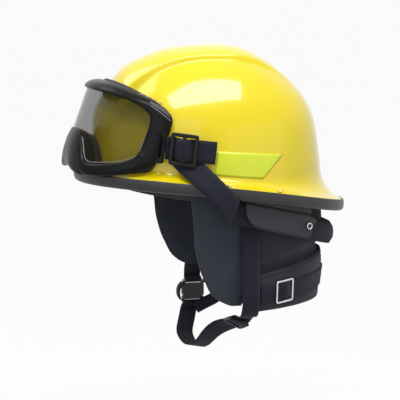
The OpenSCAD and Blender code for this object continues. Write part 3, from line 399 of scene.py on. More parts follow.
# %% [markdown]
# ## Smooth forms over the solids
# A CAD solid arrives as loose triangles. A copy is merged, its triangles are paired into
# quads, and a Subdivision Surface rounds it. Creases hold the edges that should stay firm.
# This keeps a piece where the CAD puts it. Later cells move parts of a few pieces further.

# %% Copy a solid
# The straps that join two bodies, with the moving one. They are left on no body.
bridges = {"goggle_strap_left": "goggles", "goggle_strap_right": "goggles",
           "chin_loop": "plug", "rear_leg": "plug"}


def opened(mesh):
    bm = bmesh.new()
    bm.from_mesh(mesh)
    return bm


def merged(node):
    """The node's mesh as a bmesh, with its loose triangles joined at their corners."""
    bm = opened(frame["nodes"][node].data)
    bmesh.ops.remove_doubles(bm, verts=bm.verts, dist=2e-6)
    return bm


def quads_of(node):
    """The merged mesh with its triangles paired into quads."""
    bm = merged(node)
    bmesh.ops.join_triangles(bm, faces=bm.faces, angle_face_threshold=math.radians(50),
                             angle_shape_threshold=math.radians(60))
    return bm


def shade_smooth(mesh):
    mesh.polygons.foreach_set("use_smooth", [True] * len(mesh.polygons))


def make_piece(bm, name, node, finish=None, replace=True):
    """An object from a bmesh, which rides on the node's body unless it joins two bodies."""
    mesh = bpy.data.meshes.new(name)
    bm.to_mesh(mesh)
    bm.free()
    piece = placed(name, mesh)
    mesh.materials.append((finish or finish_of[slot_of[node]]).material)
    shade_smooth(mesh)
    if node not in bridges:
        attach(piece, home[node])
    if replace:
        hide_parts(node)
    return piece


def add_levels(piece, levels):
    smooth = piece.modifiers.new("smooth", "SUBSURF")
    smooth.levels = smooth.render_levels = levels
    smooth.use_limit_surface = False
    return piece


def bake(piece):
    """Applies what the modifiers make, and leaves none on the piece."""
    result = bpy.data.meshes.new_from_object(piece.evaluated_get(bpy.context.evaluated_depsgraph_get()))
    piece.modifiers.clear()
    old, piece.data = piece.data, result
    bpy.data.meshes.remove(old)


def thicken(piece, thickness, offset):
    body = piece.modifiers.new("thickness", "SOLIDIFY")
    body.thickness, body.offset = thickness, offset
    bake(piece)


def firm_edges(bm, angle, crease):
    """Creases the edges that turn by more than an angle."""
    layer = bm.edges.layers.float.new("crease_edge")
    for edge in bm.edges:
        if len(edge.link_faces) == 2 and edge.calc_face_angle() > math.radians(angle):
            edge[layer] = crease


print("solids to copy", len(frame["nodes"]), "straps between bodies", len(bridges))

# %% Rounded pieces
def rounded(node, levels, angle, crease):
    bm = quads_of(node)
    firm_edges(bm, angle, crease)
    return add_levels(make_piece(bm, node + "_form", node), levels)


shell = rounded("shell", 2, 50, 0.55)
bake(shell)
trim = rounded("edge_trim", 2, 50, 0.2)
liner = rounded("impact_liner", 2, 50, 0.5)
goggle_frame = rounded("goggle_frame", 2, 38, 0.35)
goggle_lens = rounded("goggle_lens", 2, 50, 0.8)
print("shell faces", len(shell.data.polygons))

# %% [markdown]
# ## The comb
# A raised comb runs over the crown, and the light breaks along its edges. The dome is a
# superellipse, so the distance of any point from it has a short formula. The shell's walls
# are moved to that distance plus the comb's height, which gives the comb a crisp side.

# %% Distance from the dome
HALF = Vector((0.106, 0.1315, 0.1606))
BEND = 2.4
SHELL_WALL = 0.003


def ramp(value, start, end):
    """Rises softly from 0 to 1 while the value goes from start to end."""
    t = min(1, max(0, (value - start) / (end - start)))
    return t * t * (3 - 2 * t)


def hump(value, top, width):
    """A bell curve of height 1."""
    return math.exp(-((value - top) / width) ** 2)


def middle(z):
    """The dome leans back as it rises: the middle of its plan at a height."""
    return -0.004 - 0.008 * min(1, max(0, z / HALF.z))


def off_dome(p):
    """Distance of a point from the plain dome, and the outward direction there."""
    x, y, z = p.x / HALF.x, (p.y - middle(p.z)) / HALF.y, max(0, p.z / HALF.z)
    flat = math.hypot(x, y)
    size = (flat ** BEND + z ** BEND) ** (1 / BEND)
    side = flat ** (BEND - 2)
    slope = Vector((side * x / HALF.x, side * y / HALF.y, z ** (BEND - 1) / HALF.z)) / size ** (BEND - 1)
    return (size - 1) / slope.length, slope.normalized()


print("the dome's top is off by", round(off_dome(Vector((0, middle(HALF.z), HALF.z)))[0], 6))

# %% Heights of the finished shell
COMB_HALF, COMB_RISE, COMB_PEAK = 0.046, 0.005, 0.003
SIDE_BLEND = 0.003
FRONT_IN, REAR_OUT = 0.0032, 0.0052
BRIM_HALF = 0.149
BRIM_SLOPE, BRIM_RISE, BRIM_SADDLE = 0.135, 0.0079, 0.0087


def comb_edge(y):
    """Half the comb's width, which narrows towards both ends."""
    return COMB_HALF - 0.011 * ramp(y, 0.005, 0.080) - 0.005 * ramp(y, 0, -0.095)


def standing(p):
    """How far the finished shell stands off the plain dome."""
    edge = comb_edge(p.y)
    on_comb = ramp(abs(p.x), edge + SIDE_BLEND, edge - SIDE_BLEND) * ramp(p.z, 0.062, 0.092)
    comb = COMB_RISE * ramp(p.y, 0.095, 0.015) + COMB_PEAK * hump(p.y, -0.097, 0.015)
    front = FRONT_IN * ramp(p.y, 0.05, -0.04) * ramp(p.z, 0.09, 0.13)
    rear = REAR_OUT * hump(p.z, 0.095, 0.035) * ramp(p.y, 0.02, 0.10)
    return on_comb * comb - front + rear


def flare_top(p):
    """Height at which the flare has run out into the dome: over the brim, more so behind."""
    along = p.y / BRIM_HALF
    brim = BRIM_RISE - BRIM_SLOPE * p.y + BRIM_SADDLE * (1 - min(1, along ** 2))
    return brim + 0.012 + 0.022 * max(0, along) ** 2


print("comb half width at its ends", round(comb_edge(-0.095), 4), round(comb_edge(0.08), 4))

# %% Crisp comb
bm = opened(shell.data)
near = [f for f in bm.faces
        if all(abs(abs(v.co.x) - comb_edge(v.co.y)) < 0.010 and v.co.z > 0.06 for v in f.verts)]
bmesh.ops.subdivide_edges(bm, edges=list({e for f in near for e in f.edges}), cuts=2, use_grid_fill=True)
bm.normal_update()
moves = []
for v in bm.verts:
    gap, out = off_dome(v.co)
    wall = 0.0 if v.normal.dot(out) > 0 else -SHELL_WALL
    start = flare_top(v.co)
    share = ramp(v.co.z, start, start + 0.012)
    moves.append(out * ((standing(v.co - out * gap) + wall - gap) * share))
for v, move in zip(bm.verts, moves):
    v.co += move
bmesh.ops.recalc_face_normals(bm, faces=bm.faces)
bm.to_mesh(shell.data)
bm.free()
shade_smooth(shell.data)
print("shell faces", len(shell.data.polygons), "largest move", round(max(m.length for m in moves), 4))

# %% [markdown]
# ## Closer goggles
# On the photographed helmet the goggles sit a little lower and closer than the plain
# solids, mostly at the middle. Each goggle piece is bent by the same rule: a point keeps
# its share of the way from the lens to the shell while both of them move.

# %% Surface of the lens and of the dome
LENS_MID, LENS_FRONT, LENS_SWEEP = 0.080, -0.1585, 0.090
LENS_LEAN = math.tan(math.radians(20))
OPEN_HALF, RIM_HALF = 0.0845, 0.095
NEARER = 0.007
TOP_DOWN, BRIDGE_DOWN = 0.007, 0.005
THIN = 0.004


def lens_back(x, z, nearer=0.0):
    """Place along Y of the lens surface, with its middle moved nearer to the shell."""
    sweep = (LENS_SWEEP - nearer) * (abs(x) / RIM_HALF) ** 2.6
    return LENS_FRONT + nearer + sweep + LENS_LEAN * (z - LENS_MID)


def on_dome(p):
    """The point of the dome that the ray from its axis through p meets."""
    x, y = p.x / HALF.x, (p.y - middle(p.z)) / HALF.y
    flat = (1 - min(1, max(0, p.z / HALF.z)) ** BEND) ** (1 / BEND) / max(1e-6, math.hypot(x, y))
    return Vector((p.x * flat, middle(p.z) + (p.y - middle(p.z)) * flat, p.z))


def on_lens(p):
    """The point of the lens surface that the same ray meets, found by halving."""
    axis = middle(p.z)
    near, far = 0.6, 2.2
    for _ in range(24):
        t = (near + far) / 2
        if axis + t * (p.y - axis) < lens_back(t * p.x, p.z):
            far = t
        else:
            near = t
    return Vector((t * p.x, axis + t * (p.y - axis), p.z))


gap = on_dome(Vector((0, -0.1, LENS_MID))).y - lens_back(0, LENS_MID)
print("lens in front of the dome by", round(gap, 4))

# %% How far the rim comes down
def arc(x, half, bend):
    """Upper half of a superellipse of height 1."""
    return max(0, 1 - min(1, abs(x) / half) ** bend) ** (1 / bend)


def lowered(x, z):
    """The rim comes down at its top and its nose bridge, and less between and below them."""
    bridge = math.exp(-(abs(x) / 0.038) ** 6)
    top = LENS_MID + 0.037 * arc(x, OPEN_HALF, 2.8)
    low = LENS_MID + 0.039 * bridge - 0.040 * arc(x, OPEN_HALF, 7)
    if z > top:
        brow = arc(x, RIM_HALF, 2.4)
        rim = LENS_MID + 0.052 * brow - top
        return TOP_DOWN * brow * min(1.15, (z - top) / max(THIN, rim))
    if z > low:
        return BRIDGE_DOWN * bridge * (top - z) / (top - low)
    foot = LENS_MID + 0.009 * hump(x, 0, 0.020) - 0.051 * arc(x, RIM_HALF, 7)
    return BRIDGE_DOWN * bridge * (1 - min(1, (low - z) / max(THIN, low - foot)))


print("down at the top and the bridge", lowered(0, 0.132), round(lowered(0, 0.118), 4))

# %% Bend the goggles
def bent(p):
    lens = on_lens(p)
    foot = on_dome(lens)
    share = min(1, max(0, (lens - p).length / max(0.002, (lens - foot).length)))
    z = p.z - lowered(lens.x, p.z)
    moved = Vector((lens.x, lens_back(lens.x, z, NEARER if abs(lens.x) < RIM_HALF else 0), z))
    return p + (moved - lens) * (1 - share) + (on_dome(moved) - foot) * share


def bend_piece(piece):
    bake(piece)
    for v in piece.data.vertices:
        v.co = bent(v.co)
    piece.data.update()


bend_piece(goggle_frame)
bend_piece(goggle_lens)
for v in goggle_frame.data.vertices:
    wide = abs(v.co.x)
    v.co.z -= 0.004 * ramp(v.co.z, 0.038, 0.030) * ramp(wide, 0.015, 0.045) * ramp(wide, 0.095, 0.083)
print("goggle frame's lowest point", round(min(v.co.z for v in goggle_frame.data.vertices), 4))

# %% [markdown]
# ## Reflective trapezoids
# The sheet is thin and follows the dome. A flat grid is laid over its four corners, and
# every point is dropped onto the shell from the side.

# %% Reflective sheet on the shell
def skin_of(piece):
    """The finished surface of a piece, for nearest points and rays."""
    return BVHTree.FromObject(piece, bpy.context.evaluated_depsgraph_get())


def corner_mix(u, low, high, w):
    """Mixes along u, between the two ends of a lower and an upper edge, and then along w."""
    return (low[0] + low[1] * u) * (1 - w) + (high[0] + high[1] * u) * w


SHEET = 0.0004
skin = skin_of(shell)
for side, sign in SIDES:
    bm = bmesh.new()
    bmesh.ops.create_grid(bm, x_segments=28, y_segments=10, size=0.5)
    for v in bm.verts:
        u, w = v.co.x + 0.5, v.co.y + 0.5
        y = corner_mix(u, (-0.023, 0.054), (-0.0195, 0.0763), w)
        z = corner_mix(u, (0.0298, -0.0058), (0.0553, -0.0064), w)
        spot, normal, _, _ = skin.ray_cast(Vector((sign * 0.3, y, z)), Vector((-sign, 0, 0)))
        v.co = spot + normal * 0.00045
    if sign < 0:
        bmesh.ops.reverse_faces(bm, faces=bm.faces)
    patch = make_piece(bm, "reflective_sheet_" + side, "reflective_" + side)
    thicken(patch, SHEET, -1)
print("reflective sheets follow the shell, thickness", SHEET)

# %% [markdown]
# ## Hard fittings
# Rings, plates, screws and the ratchet have true edges. A mould or a press never leaves
# them knife sharp, so a small bevel catches the light along each one.

# %% Bevelled pieces
def fitting(node, width, finish=None, segments=2):
    bm = merged(node)
    bmesh.ops.dissolve_limit(bm, angle_limit=math.radians(1), verts=bm.verts, edges=bm.edges)
    piece = make_piece(bm, node + "_form", node, finish)
    soft = piece.modifiers.new("bevel", "BEVEL")
    soft.width, soft.segments = width, segments
    soft.limit_method, soft.angle_limit = "ANGLE", math.radians(35)
    piece.modifiers.new("normals", "WEIGHTED_NORMAL")
    return piece


bevels = {
    "brim_rivets": 0.0003, "ratchet_housing": 0.0006, "ratchet_cover": 0.0005, "ratchet_screws": 0.0002,
    "ratchet_knob": 0.0006, "ratchet_pinion": 0.0001, "nape_arm_left": 0.0002, "nape_arm_right": 0.0002,
    "headband": 0.0004, "crown_keys": 0.0004, "nape_slide": 0.0003, "keeper_snaps": 0.0002,
    "chin_anchors": 0.0002, "buckle_socket": 0.0007, "buckle_plug": 0.0006}
for node, width in bevels.items():
    fitting(node, width)
bend_piece(fitting("goggle_vents", 0.0002))
for side in ("left", "right"):
    fitting("outrigger_" + side, 0.0008, frame_plastic, 3)
    fitting("strap_slide_" + side, 0.0009, ring_plastic, 3)
    fitting("snap_cap_" + side, 0.0002, dark_steel)
print("bevelled fittings", len(bevels) + 7)

# %% [markdown]
# ## Straps
# Each strap is a flat tube of webbing. To carry the weave, its map is laid along it: from
# the vertices at one end, distances are walked down the long edges, and the side a vertex
# starts on stays its side all the way. Along the three crown straps, which are hidden, the
# map stops after a millimetre.

# %% Map a strap
def walk(seeds, longest):
    """Shortest distances from the seeds, along the edges that are no longer than the limit."""
    done, queue = {}, [(d, i, v) for i, (v, d) in enumerate(seeds.items())]
    count = len(queue)
    while queue:
        d, _, v = heapq.heappop(queue)
        if v in done:
            continue
        done[v] = d
        for e in v.link_edges:
            if e.calc_length() <= longest:
                count += 1
                heapq.heappush(queue, (d + e.calc_length(), count, e.other_vert(v)))
    return done


def lay_weave(bm, width):
    """Writes a map of metres along and across a strap. Returns the strap's length."""
    bm.verts.ensure_lookup_table()
    start = walk({bm.verts[0]: 0.0}, math.inf)
    tip = max(start, key=start.get)
    ring = sorted(bm.verts, key=lambda v: (v.co - tip.co).length)[:6]
    ring = [v for v in ring if (v.co - tip.co).length < width * 1.2]
    lengthwise = width * 0.85
    reach = walk({v: 0.0 for v in ring}, lengthwise)
    side = {v: 0.0 if (v.co - tip.co).length < width / 2 else 1.0 for v in ring}
    for v in sorted(reach, key=reach.get):
        if v not in side:
            near = [e.other_vert(v) for e in v.link_edges if e.calc_length() < lengthwise]
            near = [n for n in near if n in side and reach[n] <= reach[v]]
            if near:
                side[v] = side[max(near, key=lambda n: reach[v] - reach[n])]
    layer = bm.loops.layers.uv.verify()
    for face in bm.faces:
        for loop in face.loops:
            loop[layer].uv = (reach.get(loop.vert, 0.0), side.get(loop.vert, 0.5) * width)
    return max(reach.values())


def strap(node, width, levels=2, crease=0.75):
    """A strap's form with its map. Zero levels leave the CAD facets."""
    bm = quads_of(node)
    firm_edges(bm, 45, crease)
    length = lay_weave(bm, width)
    piece = make_piece(bm, node + "_form", node)
    if levels:
        add_levels(piece, levels)
    print(node, "length", round(length, 4))
    return piece


straps = {node: strap(node, width) for node, width in {
    "goggle_strap_left": 0.025, "goggle_strap_rear": 0.025, "goggle_strap_right": 0.025,
    "strap_tail_left": 0.024, "strap_tail_right": 0.024, "chin_strap_left": 0.019,
    "chin_strap_right": 0.019, "chin_loop": 0.019, "rear_leg": 0.014, "nape_strap": 0.020,
    "crown_strap_a": 0.019, "crown_strap_b": 0.019, "crown_strap_c": 0.019}.items()}

# %% Curl the rear strap's edges inward
CURL = 0.005
rear = straps["goggle_strap_rear"]
bake(rear)


def sector(v):
    """The two degrees of the way round the nape in which a vertex lies."""
    return round(math.degrees(math.atan2(v.co.y, v.co.x)) / 2)


heights = {}
for v in rear.data.vertices:
    heights.setdefault(sector(v), []).append(v.co.z)
for v in rear.data.vertices:
    low, high = min(heights[sector(v)]), max(heights[sector(v)])
    across = 2 * (v.co.z - low) / (high - low) - 1
    out = Vector((v.co.x, v.co.y, 0)).normalized()
    v.co -= out * (CURL * abs(across) ** 2.5 * ramp(v.co.y, 0.05, 0.11))
print("rear strap sectors", len(heights))

# %% Turn the chin loop's free side towards the camera
ADJUST = Vector((0.063, 0.0125, -0.1375))
AHEAD = Vector((-0.9, -0.3, -0.38)).normalized()
TWIST = math.radians(30)
tail = strap("chin_tail", 0.019, 0, 0.8)
for piece in (straps["chin_loop"], straps["chin_strap_left"], tail, fitting("chin_adjuster", 0.0005)):
    bake(piece)
    for v in piece.data.vertices:
        far = (v.co - ADJUST).dot(AHEAD)
        share = 1 - (ramp(far, 0.020, 0.065) if far > 0 else ramp(far, -0.010, -0.022))
        v.co = ADJUST + Matrix.Rotation(TWIST * share, 3, AHEAD) @ (v.co - ADJUST)
print("chin loop turned by", round(math.degrees(TWIST)), "degrees at its adjuster")

# %% [markdown]
# ## Straps that join two bodies
# The goggle strap stretches when the goggles are pulled off the shell, and the chin loop
# and the rear leg follow the buckle's plug. Here each of these straps only has its modifiers
# applied and its place baked into its mesh: it is not bent, and it rides on no body.

# %% Bake the straps between bodies
for node, body in bridges.items():
    low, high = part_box(node)
    node == "chin_loop"
    bake(straps[node])
    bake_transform(straps[node])
    print(node, "joins", body, "and helmet")

# %% [markdown]
# ## Padded pieces
# The ear flaps and the pads are stuffed. A voxel copy of each is blown up a little by a
# cloth simulation, and a cap on how far any point may move keeps it in its place. The
# face foam is firm, so it is only rounded, bent with the goggles and drawn down at its
# lower edge.

# %% Blow up a pad
def inflate(piece, pressure, cap, frames=20):
    """Swells a piece by a cloth simulation. No point moves further than the cap."""
    before = [v.co.copy() for v in piece.data.vertices]
    cloth = piece.modifiers.new("cloth", "CLOTH")
    cloth.settings.use_pressure = True
    cloth.settings.uniform_pressure_force = pressure
    cloth.settings.effector_weights.gravity = 0
    cloth.settings.quality = 5
    cloth.settings.tension_stiffness = cloth.settings.compression_stiffness = 40
    for step in range(1, frames + 1):
        bpy.context.scene.frame_set(step)
    bake(piece)
    bpy.context.scene.frame_set(1)
    for v, old in zip(piece.data.vertices, before):
        move = v.co - old
        if move.length > cap:
            v.co = old + move.normalized() * cap


def plump(node, voxel, pressure, cap, finish=None):
    piece = make_piece(merged(node), node + "_pad", node, finish)
    remesh = piece.modifiers.new("voxels", "REMESH")
    remesh.mode, remesh.voxel_size, remesh.use_smooth_shade = "VOXEL", voxel, True
    bake(piece)
    inflate(piece, pressure, cap)
    soften = piece.modifiers.new("soften", "SMOOTH")
    soften.factor, soften.iterations = 0.5, 4
    bake(piece)
    add_levels(piece, 1)
    shade_smooth(piece.data)
    print(piece.name, "faces", len(piece.data.polygons))
    return piece


flaps = {side: plump("ear_flap_" + side, 0.0035, 3.0, 0.0015, flap_cloth) for side in ("left", "right")}
plump("brow_pad", 0.0022, 2.0, 0.0006)
plump("nape_pad", 0.0025, 2.0, 0.0008)

# %% Fill out the flaps
def fuller(p):
    """Moves a flap's lower rear edge back, up to the chin strap."""
    back = 0.006 + 0.003 * ramp(p.z, -0.095, -0.110)
    return p + Vector((0, back * ramp(p.z, -0.060, -0.090) * ramp(p.y, -0.020, 0.005), 0))


for side, flap in flaps.items():
    bake(flap)
    for v in flap.data.vertices:
        v.co = fuller(v.co)
    print(side, "flap reaches back to", round(max(v.co.y for v in flap.data.vertices), 4))

# %% Face foam
foam = rounded("goggle_foam", 2, 60, 0.3)
bend_piece(foam)
for v in foam.data.vertices:
    v.co.z -= 0.008 * ramp(v.co.z, 0.056, 0.042) * ramp(abs(v.co.x), 0.094, 0.082)
print("foam's lowest point", round(min(v.co.z for v in foam.data.vertices), 4))

# %% [markdown]
# ## The curtain and its band
# The curtain hangs from the liner round the nape, and its lower band is drawn in by the
# strap. Each is one sheet with a thickness. Soft wrinkles, deepest half way down, are pushed
# into the dense surface along its own normals. The curtain is also tucked in where it comes
# out over its band, which gives the dark crease that shows there.

# %% Wrinkles and tuck
CREASE_LEVEL, CREASE_SLOPE = -0.081, 0.17


def wrinkle(around, level, phase):
    """Waves round the nape and folds down the cloth, from an angle and a share of the height."""
    wave = math.sin(around * 21 + phase + 3.0 * level) + 0.6 * math.sin(around * 47 - 5.0 * level + phase * 2)
    fold = math.sin(level * 26 + 2.2 * math.sin(around * 6 + phase))
    return math.sin(math.pi * min(1, max(0, level))) * (0.55 * wave + 0.45 * fold)


def draped(node, finish, depth, phase, tuck=0.0):
    bm = quads_of(node)
    firm_edges(bm, 50, 0.7)
    piece = add_levels(make_piece(bm, node + "_cloth", node, finish), 2)
    bake(piece)
    bm = opened(piece.data)
    low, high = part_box(node)
    bm.normal_update()
    moves = []
    for v in bm.verts:
        level = (v.co.z - low.z) / (high.z - low.z)
        crease = CREASE_LEVEL + CREASE_SLOPE * v.co.y
        inward = -Vector((v.co.x, v.co.y, 0)).normalized() * (tuck * hump(v.co.z, crease, 0.006))
        moves.append(v.normal * (depth * wrinkle(math.atan2(v.co.y, v.co.x), level, phase)) + inward)
    for v, move in zip(bm.verts, moves):
        v.co += move
    print(node, "area of one side", round(sum(f.calc_area() for f in bm.faces) / 2, 4))
    bm.to_mesh(piece.data)
    bm.free()
    return piece


draped("neck_curtain", curtain_cloth, 0.0003, 0.4, 0.004)
band = draped("curtain_band", band_cloth, 0.00012, 1.3)

# %% [markdown]
# ## Keepers
# On each side a leather keeper hangs below the trim and covers the goggle strap. Its edge
# is bound with a dark tape and sewn. The tape is a thin tube swept along the outline of
# the panel, which is read from the panel's own boundary. On the left this goes wrong: the
# walk starts at the snap's hole, so the tape goes round the hole and not round the panel,
# and the row of stitches is one thread. That fault is left.

# %% Outlines
def outward(region):
    """How much a region of faces looks away from the middle of the helmet."""
    return sum(f.normal.dot(f.calc_center_median().normalized()) * f.calc_area() for f in region)


def outer_face(bm, angle):
    """The outward panel of a slab: the faces that sharp edges close off."""
    todo, regions = set(bm.faces), []
    while todo:
        stack, region = [todo.pop()], set()
        while stack:
            face = stack.pop()
            region.add(face)
            for edge in face.edges:
                for other in edge.link_faces:
                    if other in todo and edge.calc_face_angle(0) < math.radians(angle):
                        todo.discard(other)
                        stack.append(other)
        regions.append(region)
    largest = sorted(regions, key=lambda r: -sum(f.calc_area() for f in r))[:2]
    return max(largest, key=outward)


def outline(node, inset=0.0, angle=42):
    """Ordered points and normals along the edge of a node's outward panel."""
    bm = quads_of(node)
    bm.normal_update()
    panel = outer_face(bm, angle)
    edges = [e for e in bm.edges if len([f for f in e.link_faces if f in panel]) == 1]
    links = {}
    for e in edges:
        for v in e.verts:
            links.setdefault(v, []).append(e)
    first = edges[0].verts[0]
    path, edge = [first], edges[0]
    while True:
        vert = edge.other_vert(path[-1])
        if vert is first or len(path) > len(edges):
            break
        path.append(vert)
        edge = next((e for e in links[vert] if e is not edge), edge)
    centre = sum((v.co for v in path), Vector()) / len(path)
    rows = []
    for i, v in enumerate(path):
        faces = [f for f in v.link_faces if f in panel]
        normal = sum((f.normal for f in faces), Vector()).normalized()
        ahead = (path[(i + 1) % len(path)].co - path[i - 1].co).normalized()
        inward = normal.cross(ahead)
        rows.append([v.co.copy(), normal, inward])
    turn = sum((centre - p).dot(w) for p, n, w in rows)
    rows = [(p + w * (inset if turn > 0 else -inset), n) for p, n, w in rows]
    bm.free()
    return rows


for side, _ in SIDES:
    edge = [p for p, _ in outline("keeper_" + side)]
    print(side, "keeper's outline", round(sum((b - a).length for a, b in zip(edge, edge[1:])), 4), "long")


def tube(name, rows, radius, node, finish, lift=0.0, closed=True):
    """A round tube through the rows' points, lifted along their normals, as a mesh."""
    data = bpy.data.curves.new(name, "CURVE")
    data.dimensions, data.bevel_depth, data.bevel_resolution, data.resolution_u = "3D", radius, 3, 4
    spline = data.splines.new("NURBS")
    spline.points.add(len(rows) - 1)
    for point, (p, n) in zip(spline.points, rows):
        point.co = (*(p + n * lift), 1)
    spline.use_cyclic_u, spline.order_u, spline.use_endpoint_u = closed, 3, not closed
    holder = placed(name + "_route", data)
    mesh = bpy.data.meshes.new_from_object(holder.evaluated_get(bpy.context.evaluated_depsgraph_get()))
    bpy.data.objects.remove(holder)
    return make_piece(opened(mesh), name, node, finish, replace=False)


# %% Stitches
def sew(name, target, rows, node, pitch=0.0034, length=0.0023, radius=0.00036):
    """A closed row of short threads on a piece's surface, as one mesh."""
    skin = skin_of(target)
    points = [p for p, n in rows] + [rows[0][0]]
    along, marks = 0.0, []
    for a, b in zip(points, points[1:]):
        gap = (b - a).length
        while along < gap:
            marks.append((a + (b - a) * (along / gap), (b - a).normalized()))
            along += pitch
        along -= gap
    bm = bmesh.new()
    for mark, ahead in marks:
        spot, normal, _, _ = skin.find_nearest(mark)
        made = bmesh.ops.create_icosphere(bm, subdivisions=1, radius=1.0)["verts"]
        side = normal.cross(ahead).normalized()
        for v in made:
            x, y, z = v.co
            over = z * radius * 0.8 + radius * 0.25
            v.co = spot + ahead * (x * length / 2) + side * (y * radius) + normal * over
    make_piece(bm, name, node, thread, replace=False)
    print(name, len(marks), "stitches")


# %% Keeper panels, tape, stitches and snaps
ROUND_OFF = 0.017
RING = 0.0031


def leaf(p, end, level):
    """Draws the keeper's rear end in to a rounded leaf."""
    t = min(1, max(0, (p.y - end + ROUND_OFF) / ROUND_OFF))
    return Vector((p.x, p.y, level + (p.z - level) * (1 - 0.55 * t ** 2.4)))


for side, sign in SIDES:
    node = "keeper_" + side
    panel = rounded(node, 1, 45, 0.8)
    bake(panel)
    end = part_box(node)[1].y
    heights = [v.co.z for v in panel.data.vertices if v.co.y > end - 0.012]
    level = (min(heights) + max(heights)) / 2
    for v in panel.data.vertices:
        v.co = leaf(v.co, end, level)
    hem = [(leaf(p, end, level), n) for p, n in outline(node, 0.0012)]
    tube("keeper_tape_" + side, hem, 0.0009, node, binding_tape)
    seam = [(leaf(p, end, level), n) for p, n in outline(node, 0.0032)]
    sew("keeper_stitches_" + side, panel, seam, node)
    low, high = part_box("snap_cap_" + side)
    cap = Vector((low.x if sign < 0 else high.x, (low.y + high.y) / 2, (low.z + high.z) / 2))
    ahead = Vector((-0.30 * sign, 0.954, 0))
    ring = []
    for k in range(24):
        turn = TURN * k / 24
        spoke = ahead * math.cos(turn) + Vector((0, 0, math.sin(turn)))
        ring.append((cap + spoke * RING, Vector((sign, 0, 0))))
    tube("snap_ring_" + side, ring, 0.0005, "snap_cap_" + side, steel, -0.0004)
rounded("keeper_hangers", 1, 45, 0.8)

# %% [markdown]
# ## Bound and sewn edges of the cloth
# Each ear flap is turned and top-sewn a little inside its edge, over a piped seam. The
# curtain's band has a row of stitches round its edge. These small threads are what the
# eye reads as real cloth.

# %% Flap and band seams
for side, flap in flaps.items():
    node = "ear_flap_" + side
    skin = skin_of(flap)
    rows = [(skin.find_nearest(fuller(p))[0], n) for p, n in outline(node, 0.001, 60)]
    tube("flap_piping_" + side, rows, 0.0013, node, binding_tape, -0.0002)
    seam = [(fuller(p), n) for p, n in outline(node, 0.006, 60)]
    sew("flap_stitches_" + side, flap, seam, node, 0.0042, 0.0028)
sew("band_stitches", band, outline("curtain_band", 0.0035, 60), "curtain_band", 0.0042, 0.0028)

# %% [markdown]
# ## Small details
# A thin tube of pale plastic along the lens's lower edge is a painted highlight on the lip that holds the
# lens. Three louvres close each vent, and a moulded boss sits on each arm of the frame. They are placed by
# the finished
# frame: each takes the nearest point of its surface to where it belongs. At the chin
# buckle, the free end of the webbing curls forward.

# %% Lens bead, a painted highlight
# Pale grey plastic: the louvres' own colour, and on the lens bead a painted highlight.
pale_plastic_and_painted_highlight = moulded("pale_plastic_and_painted_highlight", (0.12, 0.12, 0.125), 0.3, (0.2, 0.2, 0.2))
ring = [(bent(p), n) for p, n in outline("goggle_lens", 0.0030)]
first = max(range(len(ring)), key=lambda i: ring[i][0].z)
ring = [row for row in ring[first:] + ring[:first] if row[0].z < 0.074]
tube("lens_highlight_bead", ring, 0.0006, "goggle_frame", pale_plastic_and_painted_highlight, 0.0009, closed=False)
print("lens bead", len(ring), "points")

# %% Louvres over the vents
LOUVRE_FRONT, LOUVRE_REAR = Vector((0.084, -0.087, 0.113)), Vector((0.093, -0.068, 0.097))
LOUVRE_PITCH = 0.0045
skin = skin_of(goggle_frame)
for side, sign in SIDES:
    for k in range(3):
        line = []
        for i in range(9):
            place = LOUVRE_FRONT.lerp(LOUVRE_REAR, i / 8)
            place = Vector((sign * place.x, place.y, place.z - LOUVRE_PITCH * k))
            line.append(skin.find_nearest(place)[:2])
        tube(f"louvre_{side}_{k}", line, 0.0006, "goggle_frame", pale_plastic_and_painted_highlight, 0.0003, closed=False)
print("louvres", 3, "on each side")

# %% Curled end of the webbing
CURL_AT = Vector((-0.0735, -0.0105, -0.1290))
CURL_DEEP, CURL_HIGH, CURL_WIDE = 0.0075, 0.0110, 0.014
CURL_STEP = 0.0011
bm = bmesh.new()
layer = bm.loops.layers.uv.new("UVMap")
curl = []
for i in range(25):
    turn = math.radians(-60 + 150 * i / 24)
    centre = CURL_AT + Vector((0, -CURL_DEEP * math.cos(turn), CURL_HIGH * math.sin(turn)))
    curl.append([bm.verts.new(centre + Vector((side * CURL_WIDE / 2, 0, 0))) for side in (-1, 1)])
for i, (a, b) in enumerate(zip(curl, curl[1:])):
    face = bm.faces.new((a[0], a[1], b[1], b[0]))
    for loop, (along, across) in zip(face.loops, ((i, 0), (i, 1), (i + 1, 1), (i + 1, 0))):
        loop[layer].uv = (along * CURL_STEP, across * CURL_WIDE)
end = make_piece(bm, "webbing_curl", "buckle_plug", webbing, replace=False)
thicken(end, 0.0013, 0)
print("webbing curl", round(CURL_STEP * 24, 4), "long")

# %% Bosses
for side, sign in SIDES:
    spot, normal, _, _ = skin.find_nearest(Vector((sign * 0.098, -0.104, 0.056)))
    bm = bmesh.new()
    bmesh.ops.create_cone(bm, cap_ends=True, segments=40, radius1=0.0042, radius2=0.0036, depth=0.0014)
    top = max(bm.faces, key=lambda f: f.calc_center_median().z)
    bmesh.ops.inset_individual(bm, faces=[top], thickness=0.0012, depth=-0.0006)
    bmesh.ops.bevel(bm, geom=[e for e in bm.edges if e.calc_face_angle(0) > 0.6], offset=0.0002, segments=2,
                    affect="EDGES", profile=0.5, material=-1)
    turn = normal.to_track_quat("Z", "Y").to_matrix()
    for v in bm.verts:
        v.co = turn @ v.co + spot + normal * 0.0002
    make_piece(bm, "frame_boss_" + side, "goggle_frame", ring_plastic, replace=False)
    print("boss", side, [round(c, 4) for c in spot])

# %% [markdown]
# ## Studio
# The background is pale and even. A long soft lamp overhead gives the window highlight on
# the shell, a second one lights its front, and two weak ones fill the side that the camera
# sees. The floor and the world look almost white to the camera, and light the helmet only a
# little, so the floor keeps a faint shadow.

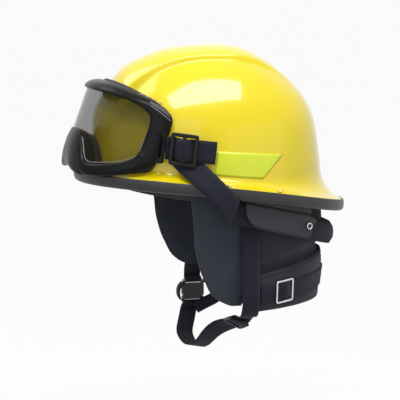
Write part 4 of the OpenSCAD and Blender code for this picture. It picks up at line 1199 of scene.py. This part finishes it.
# %% Floor and world
def looked_at(rays):
    """1 where the camera sees a surface, also in a gloss or through a lens, and else 0."""
    return rays("Is Camera Ray").most(rays("Is Glossy Ray")).most(rays("Is Transmission Ray"))


def pale(name, share):
    """Grey paper, of which a share is a white glow where it is looked at."""
    finish = Finish(name, (0.55, 0.55, 0.55), 0.9)
    tree = finish.tree
    glow = finish.add("Emission", Color=(1, 1, 1, 1), Strength=1.0)("Emission")
    mix = tree.nodes.new("ShaderNodeMixShader")
    plug(tree, mix.inputs[0], looked_at(finish.add("LightPath")) * share)
    tree.links.new(finish.shader.outputs[0], mix.inputs[1])
    tree.links.new(glow.end, mix.inputs[2])
    tree.links.new(mix.outputs[0], tree.nodes["Material Output"].inputs["Surface"])
    return finish


FLOOR_LEVEL, FLOOR_HALF = -0.30, 30.0
bm = bmesh.new()
bmesh.ops.create_grid(bm, x_segments=1, y_segments=1, size=FLOOR_HALF)
bmesh.ops.translate(bm, verts=bm.verts, vec=(0, 0, FLOOR_LEVEL))
mesh = bpy.data.meshes.new("floor")
bm.to_mesh(mesh)
bm.free()
floor = placed("floor", mesh)
mesh.materials.append(pale("floor_paper", 0.945).material)

DIM, BRIGHT = 0.26, 1.0
world = bpy.data.worlds.new("studio")
bpy.context.scene.world = world
world.use_nodes = True
sky = world.node_tree
background = sky.nodes["Background"]
seen = looked_at(outputs(sky, sky.nodes.new("ShaderNodeLightPath")))
plug(sky, background.inputs["Strength"], seen * (BRIGHT - DIM) + DIM)
background.inputs["Color"].default_value = (1, 1, 1, 1)
print("floor at", FLOOR_LEVEL, "light of the world", DIM)

# %% Lamps
AIM = Vector((0, 0, 0.04))


def soft_lamp(name, place, size, power):
    """A rectangular lamp, sized in metres and watts, that is turned to the helmet."""
    data = bpy.data.lights.new(name, "AREA")
    data.shape, data.size, data.size_y, data.energy = "RECTANGLE", size[0], size[1], power
    lamp = placed(name, data)
    lamp.location = place
    lamp.rotation_mode = "QUATERNION"
    lamp.rotation_quaternion = (AIM - Vector(place)).to_track_quat("-Z", "Y")


soft_lamp("window", (0.62, 0.03, 1.35), (1.4, 0.5), 28)
soft_lamp("front", (-0.45, -0.80, 1.15), (0.9, 0.7), 7)
soft_lamp("key", (1.3, -0.9, 0.5), (1.6, 1.2), 6)
soft_lamp("fill", (1.3, 1.1, 0.1), (1.6, 1.4), 4)
bpy.context.scene.view_settings.view_transform = "Standard"
